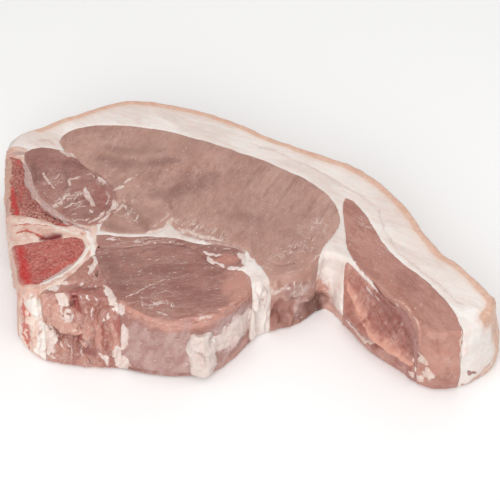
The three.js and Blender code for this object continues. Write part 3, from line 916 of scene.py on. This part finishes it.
chainLooks = dict(tenderLooks)
chainLooks.update({"red": (194, 133, 119), "base": (166, 118, 107)})
chain = {
    "node": "chain_muscle", "slot": "dark_meat", "voxel": 0.4,
    "material": meatMaterial("chainMeat", chainLooks),
    "marks": strokesIn({
        "fat plan": [
            (0.95, 1.7, [(41.6, 34), (42.4, 32.4), (43.2, 31.8)]), (0.85, 1.2, [(42.6, 32.4), (45.2, 32.2)]),
            (0.9, 1.6, [(42.5, 31), (43.8, 29.2), (45.6, 27.6)]), (0.9, 2.6, [(48.9, 33), (49.9, 31), (50.2, 28.4)]),
            (0.85, 2.2, [(49, 27.2), (46.6, 27.2)]), (0.6, 1.0, [(22, 38.6), (24.2, 39.4)]),
            (0.5, 0.6, [(23.4, 36.7), (28, 37.6), (33, 38), (37, 37)]), (0.7, 1.0, [(22.8, 39.1), (24.6, 38.3)]),
            (0.5, 0.5, [(30, 39.6), (36, 40)]),
        ],
        "web plan": [(0.8, 3, [(24, 38), (36, 38)])],
        "red plan": [(1.0, 4.6, [(44.4, 29.8), (48.2, 31)])],
    }),
}
makePiece("chainMuscle", chain)

# Roughly cut muscle below the backbone

trimLooks = dict(darkMeat)
trimLooks.update({
    "base": (178, 123, 111), "pale": (198, 146, 131), "dark": (154, 96, 86), "darkTissueAndShade": (110, 64, 58),
    "red": (158, 74, 70), "fleckAmount": 0.42, "fleckStrength": 0.45, "paintedGlints": 0.44, "web": 0.3,
    "blush": 0.45, "blushColour": (202, 146, 130), "skinPale": (214, 166, 150), "skinDark": (192, 138, 124),
    "fat": (240, 226, 218), "fatShade": (222, 200, 190), "membrane": 0.3, "bump": 0.7,
    "grainTurn": (0, 8, 0), "grainStretch": (1.0, 1.0, 0.4),
})
trim = {
    "node": "trim_muscle", "slot": "belly_meat", "voxel": 0.3,
    "material": meatMaterial("trimMeat", trimLooks),
    "shape": [
        ("front", -1.9, 6.5, [(10.6, 96), (12, 84), (13.4, 68), (16.2, 58)]),
        ("front", 1.5, 1.6, [(11.6, 56), (12.6, 51), (14.4, 47), (16.6, 46), (18, 50)]),
        ("front", 1.4, 2.2, [(16.9, 95), (17, 86), (17.6, 79)]),
        ("plan", 0.8, 2.0, [(16.4, 17), (17, 15.6)]),
        ("front", -0.9, 1.6, [(18.7, 83.7), (19.1, 82.7)]),
        ("front", -0.9, 1.6, [(17.9, 38.6), (18.8, 37.9)]),
        ("front", -0.6, 2.4, [(14.6, 77.1), (15.8, 76.6)]),
        ("front", 1.0, 2.2, [(17.5, 50), (17.4, 38), (18.4, 30)]),
        ("front", 0.8, 2.0, [(22, 94), (21, 78), (20.6, 60), (20.2, 40)]),
        ("front", 0.7, 1.6, [(22.4, 70), (22.6, 50), (22.4, 30)]),
        ("front", 0.8, 1.5, [(13.4, 45), (13.4, 34), (13.2, 18)]),
        ("front", -1.0, 3.4, [(23.9, 90), (24.3, 70), (24.5, 45), (24.2, 26)]),
        ("front", 0.7, 1.2, [(18.6, 22), (19.4, 13.7), (19.7, 6)]),
        ("plan", 0.7, 2.5, [(13, 21), (17, 20.5), (21, 19.6)]),
        ("plan", 0.9, 0.9, [(20.6, 27.4), (20.9, 24)]),
    ],
    "lumps": [("pillow", 5, 0.8), ("pillow", 2.4, 0.4), ("soft", 1.2, 0.16)],
    "tall": 0.7,
    "marks": strokesIn({
        "skin front": [
            (0.95, 7.0, [(10.2, 97), (11.7, 86), (13, 69), (14.3, 62), (16.1, 58), (17, 57)]),
            (1.0, 2.2, [(18.7, 83.7), (19.1, 82.7)]), (1.0, 2.2, [(17.9, 38.6), (18.8, 37.9)]),
            (0.5, 3.2, [(18.9, 66.6), (19, 55.8), (18.8, 47.4)]),
            (0.55, 3.2, [(20.5, 70.6), (21.4, 54.7), (21.5, 38.2)]),
            (0.75, 2.6, [(24, 72.4), (24.4, 59.2), (24.7, 44.6), (24.4, 31.8)]),
        ],
        "fat front": [
            (0.95, 5.4, [(10.4, 56), (11.2, 40), (11, 18)]), (0.8, 1.4, [(11.4, 13), (12.4, 12)]),
            (0.95, 3.4, [(13.7, 99), (14.7, 93), (15.3, 86.8)]),
            (1.0, 3.2, [(14.6, 77.1), (15.6, 76.4), (16.2, 76.8)]),
            (0.6, 0.9, [(14.1, 84.6), (13.8, 75.2), (14.4, 73)]), (0.7, 0.9, [(20.2, 87.5), (20.2, 78.4)]),
            (1.0, 2.6, [(24.4, 98), (25.2, 95), (26, 88)]), (0.8, 1.6, [(23.5, 87.8), (23.3, 82)]),
            (0.7, 1.1, [(22.5, 79.4), (22.3, 71)]), (0.95, 4.2, [(25, 40), (25.2, 22), (25.4, 6)]),
            (0.7, 1.3, [(21.4, 28.1), (22.6, 19.2), (22.7, 7.7)]), (0.7, 1.0, [(13.7, 34.2), (13.9, 27.1)]),
            (0.6, 0.8, [(17.7, 32.9), (18.2, 21.7)]), (0.6, 0.8, [(18.4, 95.1), (17.8, 98)]),
            (0.6, 0.7, [(19, 98), (19.8, 95.8)]), (0.5, 0.7, [(21.4, 97.6), (20.8, 99)]),
            (0.55, 0.7, [(16.3, 60.7), (17.3, 58.5)]), (0.55, 0.7, [(11.7, 91.6), (12.3, 87)]),
            (0.5, 0.7, [(15.2, 34), (16, 22), (15.6, 10)]),
        ],
        "fat plan": [
            (0.95, 3.4, [(12, 20.6), (13.1, 18.7)]), (0.85, 1.2, [(22.4, 20.3), (23, 19.1)]),
            (1.0, 2.4, [(23, 19), (23.7, 16.2), (24.6, 13.6)]), (0.95, 1.7, [(19.7, 35), (20.3, 30), (19.4, 25)]),
        ],
        # painted shade in the sculpted grooves and the hollow
        "dark front": [
            (0.9, 1.4, [(16, 84.6), (16.5, 91.4)]), (0.6, 1.8, [(12, 55), (13.2, 49.4), (14.4, 48), (17, 47)]),
            (0.4, 2.2, [(13, 45.9), (13.4, 35.3)]), (0.5, 1.0, [(18.6, 22), (19.4, 13.7), (19.7, 6)]),
            (0.5, 5.0, [(16.6, 40.4), (18.6, 36), (20.4, 29)]),
        ],
        "red plan": [(0.95, 2.4, [(16.6, 17.6)]), (0.4, 3.2, [(17.2, 18.7), (19.7, 18.3), (22.5, 18), (23.3, 15.2)])],
        "red front": [
            (0.95, 2.6, [(16.9, 96), (17, 86.5), (17.8, 79.1)]),
            (0.6, 4.0, [(25.1, 82.5), (25.2, 71.4), (25.1, 57.6)]), (0.8, 2.2, [(17.6, 49.2), (17.3, 39.5)]),
            (0.7, 2.6, [(18.3, 33.4), (19.5, 31.4), (20.3, 34.8)]),
            (0.5, 1.8, [(21.6, 68.8), (22.3, 50), (22.6, 33.1)]),
            (0.6, 1.5, [(12.7, 91.5), (13.5, 85.6), (13.6, 77.7)]),
        ],
        # painted shade in the sculpted dip and the pit
        "dark plan": [
            (0.35, 3.2, [(15.7, 20.7), (18.9, 19.9), (21.7, 19.1)]), (0.95, 0.9, [(20.5, 27), (20.9, 24.6)]),
        ],
    }),
}
makePiece("trimMuscle", trim)

# Belly tail

bellyLooks = dict(loinLooks)
bellyLooks.update({
    "base": (178, 125, 112), "pale": (194, 143, 129), "dark": (160, 106, 95), "darkTissueAndShade": (130, 76, 68),
    "red": (202, 150, 134), "edgeColour": (210, 166, 152), "skinPale": (220, 184, 170), "skinDark": (200, 150, 136),
    "grainTurn": (0, 0, -52), "grainStretch": (0.4, 1.0, 1.0), "fleckAmount": 0.3, "fleckStrength": 0.32,
    "blushColour": (198, 142, 126), "web": 0.06, "paintedGlints": 0.14, "membrane": 0.0,
})
tailOuter = {
    "node": "tail_outer_muscle", "slot": "belly_meat", "voxel": 0.45,
    "material": meatMaterial("tailMeat", bellyLooks),
    "shape": [
        ("top", 0.7, 2.4, [(71.4, 34), (74, 27.4), (77.6, 20.4), (80.6, 13), (82.8, 7.4), (84, 3)]),
        ("front", 0.8, 3, [(90, 60), (90.6, 30)]),
        ("front", -0.7, 2.5, [(86.4, 90), (87, 60)]),
        ("front", -0.9, 2.0, [(83.8, 58), (84.6, 48)]),
        ("front", -0.9, 2.2, [(85, 36), (85.8, 24)]),
    ],
    "lumps": [("pillow", 5, 0.6), ("soft", 2.2, 0.25)],
    "marks": strokesIn({
        # the first stroke is painted shade on the wall where it drops into the groove by the inner muscle
        "dark front": [
            (0.3, 3.4, [(76, 84), (79, 76), (81.6, 66), (83.2, 54)]), (0.7, 2.0, [(83, 64), (83.4, 58), (83.7, 52)]),
            (0.3, 2.5, [(86.6, 30), (89, 24)]),
        ],
        "fat front": [
            (0.75, 1.5, [(79.4, 88), (81.2, 80), (82.7, 70), (83.4, 60)]),
            (0.85, 1.0, [(91.4, 98), (91.6, 74), (91.5, 50)]), (0.5, 0.6, [(89, 26), (90.4, 34)]),
            (1.0, 3.0, [(83.8, 58), (84.4, 52), (85, 45)]), (1.0, 3.6, [(85, 36), (85.5, 30), (85.8, 23)]),
            (1.0, 3.2, [(83.6, 18), (84.6, 15)]),
        ],
        "red front": [(0.85, 12, [(86, 60), (90, 50)])],
        "skin front": [(0.5, 3.0, [(88, 70), (90.4, 40)])],
        "skin plan": [(0.8, 1.3, [(79.6, 15.6), (81.4, 11), (83, 6.6), (84, 3.4)])],
        "red plan": [(0.6, 2.2, [(78.6, 12), (82, 6), (86, 2.4), (91, 2)])],
        "dark plan": [(0.22, 5, [(80, 26), (84, 18)]), (0.3, 3, [(86, 22), (88.4, 16)])],
        "fat plan": [(0.5, 0.5, [(72, 52), (74.4, 44)])],
        "web plan": [(0.8, 3.0, [(73, 48), (78, 32)])],
    }),
}
makePiece("tailOuterMuscle", tailOuter)

innerLooks = dict(bellyLooks)
innerLooks.update({
    # its darkest colour is the painted shade of the groove
    "base": (172, 114, 103), "pale": (202, 146, 132), "dark": (146, 88, 80), "darkTissueAndShade": (124, 60, 54),
    # its red is a paler salmon, painted light on the ridges
    "red": (220, 162, 143), "skinPale": (204, 156, 142), "skinDark": (178, 126, 114),
    "grainTurn": (0, 26, 0), "grainStretch": (1.0, 1.0, 0.12), "threads": 0.34, "bundles": 800.0, "web": 0.1,
    "fleckAmount": 0.36, "bump": 0.7,
})
tailInner = {
    "node": "tail_inner_muscle", "slot": "belly_meat", "voxel": 0.3,
    "material": meatMaterial("tailInnerMeat", innerLooks),
    "shape": [
        ("top", 2.6, 4.5, [(74.8, 24), (77.4, 18), (80.2, 12), (82.8, 5)]),
        ("front", 2.2, 5.6, [(74, 78), (76.4, 74), (78.6, 68), (80.8, 60), (82, 52)]),
        ("front", -1.6, 2.6, [(70.3, 65), (71.1, 59.5), (71.9, 54.8), (72.7, 50.2), (73.6, 45)]),
        ("front", -1.4, 2.2, [(73.6, 45), (74.8, 39), (76.4, 37), (78, 36), (80.2, 36), (82.1, 36)]),
        ("front", 1.4, 1.4, [(70.2, 26), (71.6, 22), (73.2, 22), (75, 28), (77.4, 30)]),
        ("front", 0.9, 0.8, [(74.2, 66), (76.6, 56), (79, 48)]),
        ("front", 0.8, 0.8, [(76.6, 70), (78.6, 60), (80.4, 52)]),
    ],
    "lumps": [("soft", 7, 0.4), ("soft", 1.4, 0.1)],
    "marks": strokesIn({
        # painted shade down the scoop, along the groove and on the lower flap under the ridge
        "dark front": [
            (0.72, 4.6, [(75.6, 86), (77.6, 86), (79.2, 84), (80.4, 76), (81.6, 68), (82.6, 56)]),
            (0.34, 6, [(74.6, 78), (77.4, 66), (79.6, 56)]), (0.24, 4.0, [(72, 15), (75.6, 15), (79, 14)]),
            (0.4, 2.2, [(71.8, 26), (74, 24), (76.6, 28)]),
        ],
        # painted light: paler salmon along the raised ridges
        "red front": [
            (1.0, 3.6, [(70.3, 66), (71.1, 60), (71.9, 55), (72.7, 50), (73.6, 45)]),
            (1.0, 3.2, [(73.6, 45), (74.8, 40), (76.4, 38), (78, 37), (80.2, 37), (82.1, 37)]),
        ],
        "skin front": [(0.5, 6.0, [(70.5, 14), (74, 12), (80, 14)])],
        "fat front": [
            (0.8, 1.1, [(70.3, 24), (71.6, 20), (73.4, 19), (75.4, 28), (77, 32)]),
            (1.0, 3.2, [(82.4, 15), (83.2, 17)]), (1.0, 1.8, [(83, 44), (83.4, 38)]),
        ],
        "web front": [(0.16, 6, [(71, 80), (76, 64), (79, 56)])],
    }),
}
makePiece("tailInnerMuscle", tailInner)

# Fat between eye and tenderloin, ending in a column at the front

fatLooks = {
    "base": (238, 226, 219), "pale": (245, 236, 230), "dark": (229, 213, 205), "white": (249, 243, 239),
    "edge": 0.3, "edgeColour": (226, 198, 186), "pinkPale": (226, 180, 162), "pinkDark": (194, 136, 122),
    "red": (176, 92, 80), "darkTissueAndShade": (108, 74, 64), "clefts": 0.25, "cleftColour": (206, 172, 158),
    "rindPale": (233, 196, 175), "rindDark": (220, 174, 152), "rindEdge": (206, 158, 130), "rindLine": 0.0,
    "rindPore": (176, 136, 116),
    "grainTurn": (0, 0, 0), "grainStretch": (1.0, 1.0, 0.3), "bump": 0.35,
}
seamLooks = dict(fatLooks)
seamLooks.update({"pinkPale": (200, 160, 147), "pinkDark": (172, 128, 116)})
seamFat = {
    "node": "seam_fat", "slot": "fat", "voxel": 0.36,
    "material": fatMaterial("seamFat", seamLooks),
    "shape": [
        ("front", -2.0, 2.8, [(52.8, 94), (52.4, 84), (51.8, 70)]),
        ("front", -1.2, 2.4, [(51, 66), (50.9, 40), (51.2, 12)]),
        ("front", -1.0, 1.2, [(53.8, 82)]),
        ("front", -1.0, 1.2, [(53.2, 60)]),
        ("front", 1.4, 1.0, [(53.6, 71), (52.8, 69)]),
        ("front", 1.2, 0.9, [(50.4, 76), (51, 60), (50.6, 44)]),
        ("plan", 0.6, 1.6, [(50.9, 30), (51.5, 34)]),
        ("plan", -0.5, 2.0, [(52.6, 25), (53.4, 28)]),
    ],
    "lumps": [("pillow", 3.6, 0.7), ("soft", 1.6, 0.2)],
    "tall": 0.4,
    "marks": strokesIn({
        "skin plan": [
            (0.5, 2.6, [(37, 41), (42.3, 38.6)]),
            (1.0, 4.0, [(42.3, 38.6), (44.9, 37.4), (47.3, 35.8), (49.4, 33.4)]), (0.4, 1.2, [(21, 43), (24, 43)]),
        ],
        "skin front": [(0.35, 1.4, [(50.6, 70), (50.2, 40)])],
    }),
}
makePiece("seamFat", seamFat)

# Fat cap with its rind


rindReach = 8 * mm   # how far into the cap the rind is felt


def rindWeight(points):
    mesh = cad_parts["fat_cap"].data
    corners, faces = [v.co.copy() for v in mesh.vertices], []
    for polygon in mesh.polygons:
        normal, centre = polygon.normal, polygon.center
        outer = normal.y > 0.12 or (centre.x > high[0] - 12 * mm and normal.x > 0.3 and normal.y > -0.5)
        if abs(normal.z) < 0.75 and outer and centre.x > low[0] + 12 * mm:
            faces.append(list(polygon.vertices))
    # walls that face another piece aren't rind
    others = treeOf([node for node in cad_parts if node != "fat_cap"])
    middles = [sum((corners[i] for i in face), Vector()) / len(face) for face in faces]
    faces = [face for face, middle in zip(faces, middles) if others.find_nearest(middle, 1.2 * mm)[3] is None]
    distance = distanceTo(BVHTree.FromPolygons(corners, faces), points, rindReach)
    return 1 - distance / rindReach + 0.03 * lumps(points, 12 * mm, 51)


capLooks = dict(fatLooks)
capLooks.update({
    "grainTurn": (0, 0, -32), "grainStretch": (0.3, 1.0, 1.0), "rindLine": 0.36, "clefts": 0.14,
    # the darkest colour is the painted shade of the nook, and the fine line through the cap
    "red": (154, 92, 84), "darkTissueAndShade": (96, 54, 44), "pinkPale": (224, 174, 156), "pinkDark": (194, 132, 116),
})
# the pink line through the middle of the cap, first by the eye and then along the tail
farLine = [(50.9, 79.6), (56.4, 75.6), (61.2, 71.3), (65.5, 67), (69.3, 62.2), (73.1, 57.5), (76.6, 52.4)]
nearLine = [(76.6, 52.4), (77.9, 42.4), (80.4, 33.4), (84.5, 26.2), (87.1, 22.3), (89.2, 17.6), (91.9, 12.9)]
fatCap = {
    "node": "fat_cap", "slot": "fat", "voxel": 0.58,
    "material": fatMaterial("fatCap", capLooks),
    "shape": [
        ("front", 2.4, 4, [(64.2, 14), (65, 28)]),
        ("front", -0.8, 2, [(65.4, 70), (67, 40)]),
        ("top", 3.4, 4, [(76.2, 22), (79, 15.5), (81.6, 9), (83.6, 3.2)]),
        ("plan", 0.2, 0.8, farLine[2:] + nearLine[1:]),
    ],
    "lumps": [("soft", 9, 0.7), ("soft", 3, 0.2)],
    "marks": strokesIn({
        "skin plan": [
            (0.3, 0.9, farLine), (0.34, 0.9, nearLine), (0.2, 7, [(77, 56), (81, 44.5), (84.6, 34)]),
            (0.45, 1.4, [(6.6, 81.5), (8.7, 81.1), (10.7, 78)]), (0.2, 2.6, [(5, 80), (9, 79)]),
            (0.4, 1.0, [(67.6, 38), (68.4, 37)]),
        ],
        "dark plan": [(0.1, 0.6, farLine), (0.12, 0.6, nearLine)],
        "fat plan": [
            (0.55, 3.2, [(72, 54), (75.6, 42), (79, 32), (84, 22), (89, 13), (93, 8)]),
            (0.5, 1.2, [(37.2, 91.1), (43.5, 88.3), (50.9, 82.9), (58.2, 76.6)]), (1.0, 6.0, [(92, 9), (95, 9)]),
        ],
        "fat front": [(0.36, 12, [(94, 84), (95, 45), (94.5, 20)])],
        "red front": [(0.95, 1.0, [(93.2, 27), (94, 21), (95, 18)])],
        "skin front": [
            (0.7, 1.6, [(92, 8), (94, 5), (96, 8), (97.6, 18)]), (0.4, 1.4, [(92.3, 74), (92.6, 60)]),
            (0.9, 4.0, [(66.6, 8), (68, 13), (69.8, 20)]), (0.5, 1.6, [(64.4, 74), (64.8, 50)]),
            # the wide stroke down the side of the nook tints the fat pink-brown: painted shade
            (0.9, 6.4, [(64.2, 56), (65, 34), (65.8, 6)]), (0.45, 0.9, [(66.4, 60), (67.4, 30)]),
            (0.4, 0.8, [(68.6, 70), (69, 36)]),
        ],
        "red top": [(1.0, 5, [(75.4, 23.6), (79, 15.5), (81.6, 9), (83.6, 3.2)])],
        # painted shade in the nook between the eye and the fat
        "dark front": [(0.95, 4.8, [(63.6, 40), (64.3, 22), (64.8, 2)]), (0.5, 2.4, [(65.2, 34), (66, 16)])],
    }),
}
makePiece("fatCap", fatCap, rindWeight)

lumpLooks = dict(fatLooks)
lumpLooks.update({"base": (232, 218, 210), "pale": (240, 228, 221), "dark": (220, 203, 195)})
lump = {
    "node": "fat_lump", "slot": "fat", "voxel": 0.28, "grow": 0.1, "free": 1.0, "crease": 0.0,
    "material": fatMaterial("lumpFat", lumpLooks),
    "shape": [
        ("front", 1.8, 2.4, [(38.4, 84), (38.6, 70)]),
        ("front", 1.6, 2.4, [(44, 84), (43.6, 70)]),
        ("front", 1.4, 1.8, [(38.4, 30), (39, 10)]),
        ("front", 0.9, 0.8, [(40.4, 62), (41.8, 54), (42.2, 40)]),
        ("front", -0.6, 1.8, [(40.4, 76)]),
        ("front", -0.5, 1.8, [(42, 36)]),
    ],
    "lumps": [("pillow", 4.4, 0.9), ("soft", 2.0, 0.35)],
    "marks": strokesIn({
        "skin front": [(0.3, 1.6, [(41, 60), (41.6, 30)])],
    }),
}
makePiece("fatLump", lump)

# Sawn bone

boneLooks = {
    "base": (190, 112, 102), "dark": (160, 80, 73), "pale": (228, 188, 168), "pit": (116, 46, 44),
    "red": (212, 46, 46), "darkTissueAndShade": (70, 30, 30), "cells": 1150.0, "crumbs": 0.55, "pits": 0.65, "rim": 0.5,
    "gristle": (206, 178, 172), "rimColour": (216, 176, 162), "wall": 0.9,
    "wallPale": (240, 204, 184), "wallDark": (226, 168, 150), "bump": 0.7,
}
spine = {
    "node": "spine_bone", "slot": "bone", "voxel": 0.36,
    "material": boneMaterial("spineBone", boneLooks),
    "lumps": [("soft", 3, 0.4)],
    "marks": strokesIn({
        "red plan": [
            (1.0, 2.8, [(2.4, 60), (2.9, 54), (3.8, 49.4)]), (0.55, 2, [(2.4, 72), (3.6, 69)]),
            (0.4, 1.5, [(4.4, 62), (4.4, 55)]), (0.5, 1.6, [(12.6, 45.4), (15, 43.8)]),
        ],
        "dark plan": [(0.5, 1.8, [(8.2, 50.6), (10.8, 48), (13.2, 45.6)]), (0.36, 1.8, [(5.6, 53.6), (8, 51.4)])],
        "fat plan": [
            (1.0, 2.4, [(0.9, 75), (1.2, 62), (1.6, 52), (2.2, 43)]), (0.34, 3.5, [(4.6, 50), (8, 48.6), (11, 46)]),
        ],
        "skin plan": [(1.0, 1.5, [(4, 74), (4.5, 69), (5.1, 63), (7.2, 56.2), (10.8, 49.8), (14.4, 45)])],
    }),
}
makePiece("spineBone", spine)

vertebraLooks = dict(boneLooks)
vertebraLooks.update({
    "base": (204, 116, 107), "dark": (184, 90, 83), "pale": (222, 166, 150), "cells": 1000.0, "pits": 0.45,
})
vertebra = {
    "node": "vertebra_bone", "slot": "bone", "voxel": 0.36,
    "material": boneMaterial("vertebraBone", vertebraLooks),
    "marks": strokesIn({
        "red plan": [
            (1.0, 3.0, [(5.4, 36), (5.9, 30), (6.6, 25), (7.6, 21.6)]), (0.4, 2.4, [(9, 24), (13, 26.6), (16, 31)]),
        ],
        "fat plan": [(0.5, 2.0, [(8.9, 33.4), (10.8, 32)])],
        "skin plan": [
            (0.95, 1.5, [(18.4, 37.4), (18.2, 33.4), (16.2, 28.4), (13.4, 24.6), (10.6, 21.8)]),
            (0.6, 0.8, [(7, 37.6), (9.4, 38)]),
        ],
    }),
}
makePiece("vertebraBone", vertebra)

# Gristle and fat round the bones

sheathLooks = dict(fatLooks)
sheathLooks.update({
    "base": (238, 207, 191), "pale": (246, 224, 210), "dark": (220, 172, 156), "edge": 0.0, "clefts": 0.36,
    "cleftColour": (198, 112, 98), "grainStretch": (1, 1, 0.5),
    "pinkPale": (208, 178, 173), "pinkDark": (188, 150, 145),
    "red": (198, 84, 70), "darkTissueAndShade": (122, 2, 8), "white": (248, 237, 229), "bump": 0.6,
})
sheath = {
    "node": "bone_sheath", "slot": "sheath", "voxel": 0.38,
    "material": fatMaterial("sheathFat", sheathLooks),
    "shape": [
        ("front", -1.5, 4.2, [(8.9, 86), (9, 74), (8.9, 62)]),
        ("front", -1.2, 2.4, [(10.3, 44), (10.4, 20)]),
        ("front", 1.0, 1.0, [(9.8, 92), (10, 70), (9.6, 54), (9.2, 30)]),
        ("plan", 0.25, 2.0, [(10, 39), (12.6, 40)]),
        ("plan", 0.6, 0.9, [(5.5, 42.4), (7.8, 41.6), (9.4, 39.4)]),
        ("plan", 0.5, 0.8, [(17.6, 34.6), (16, 29), (13.6, 25)]),
    ],
    "lumps": [("pillow", 4, 0.7), ("soft", 1.8, 0.4)],
    "marks": strokesIn({
        "dark plan": [(1.0, 3.4, [(9.6, 38.8), (11.4, 39.4), (13, 40.2)])],
        "red plan": [
            (0.8, 1.4, [(4.4, 41), (6, 42.4), (8, 41.4), (9.8, 39.2)]),
            (0.6, 1.0, [(3.6, 44.6), (7.4, 44.8), (10.4, 43.8)]), (0.6, 0.9, [(16.8, 41.4), (17.4, 40.4)]),
            (0.45, 0.8, [(13.6, 41.6), (14.6, 41)]), (0.4, 1.6, [(3.6, 40), (4.4, 36)]),
            (0.34, 1.0, [(17.4, 28.4), (15, 24.6), (12.2, 21.6)]), (0.42, 1.2, [(19, 34), (18.8, 31), (18.6, 28.6)]),
            (0.3, 0.6, [(5.4, 43.8), (9.6, 43), (12.4, 41.8)]),
        ],
        "skin plan": [
            (1.0, 2.3, [(4.4, 76), (5, 70), (5.6, 63.5), (7.8, 56.6), (11.3, 49.9), (15.2, 44.9), (17.4, 43)]),
            (0.9, 2.0, [(1.6, 75.4), (4, 75.7)]), (0.6, 1.4, [(17.4, 43), (19, 41.4)]),
        ],
        "red side": [(0.6, 2.2, [(19, 70), (17, 40), (16, 10)]), (0.5, 1.6, [(40, 80), (38, 50), (36, 20)])],
        "red front": [(0.5, 1.3, [(6.2, 80), (6, 60), (5.8, 40)]), (0.6, 1.6, [(5.8, 34), (6, 18), (7, 6)])],
        "fat front": [
            (1.0, 5.4, [(8.5, 87), (8.8, 76), (9.2, 66)]),
            (1.0, 4.6, [(10.1, 55), (10.5, 37), (10.3, 32), (9.4, 22)]),
            (0.9, 2.8, [(8.7, 13.7), (9.9, 11.1), (10.5, 6.5)]), (0.6, 1.4, [(8.8, 20), (9.6, 8)]),
        ],
        "fat plan": [
            (0.95, 1.5, [(18.6, 36), (17.9, 31.6), (15.8, 27.2), (13, 23.6), (10.2, 20.6)]),
            (0.95, 1.9, [(18.1, 42), (19, 38.3), (19.7, 34.6), (20, 31)]),
            (0.6, 1.0, [(4.7, 45.3), (9.7, 44.9), (12.8, 43.2), (16.5, 40.8)]),
        ],
    }),
}
makePiece("boneSheath", sheath)
print("pieces ready")

# Floor


def makeFloor():
    bpy.ops.mesh.primitive_plane_add(size=6, location=(0, 0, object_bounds()[0][2]))
    floor = bpy.context.object
    floor.name = "floor"
    material = bpy.data.materials.new("paleFloor")
    material.use_nodes = True
    shader = material.node_tree.nodes["Principled BSDF"]
    shader.inputs["Base Color"].default_value = (0.97, 0.97, 0.97, 1)
    shader.inputs["Roughness"].default_value = 0.8
    floor.data.materials.append(material)


makeFloor()
print("floor ready")
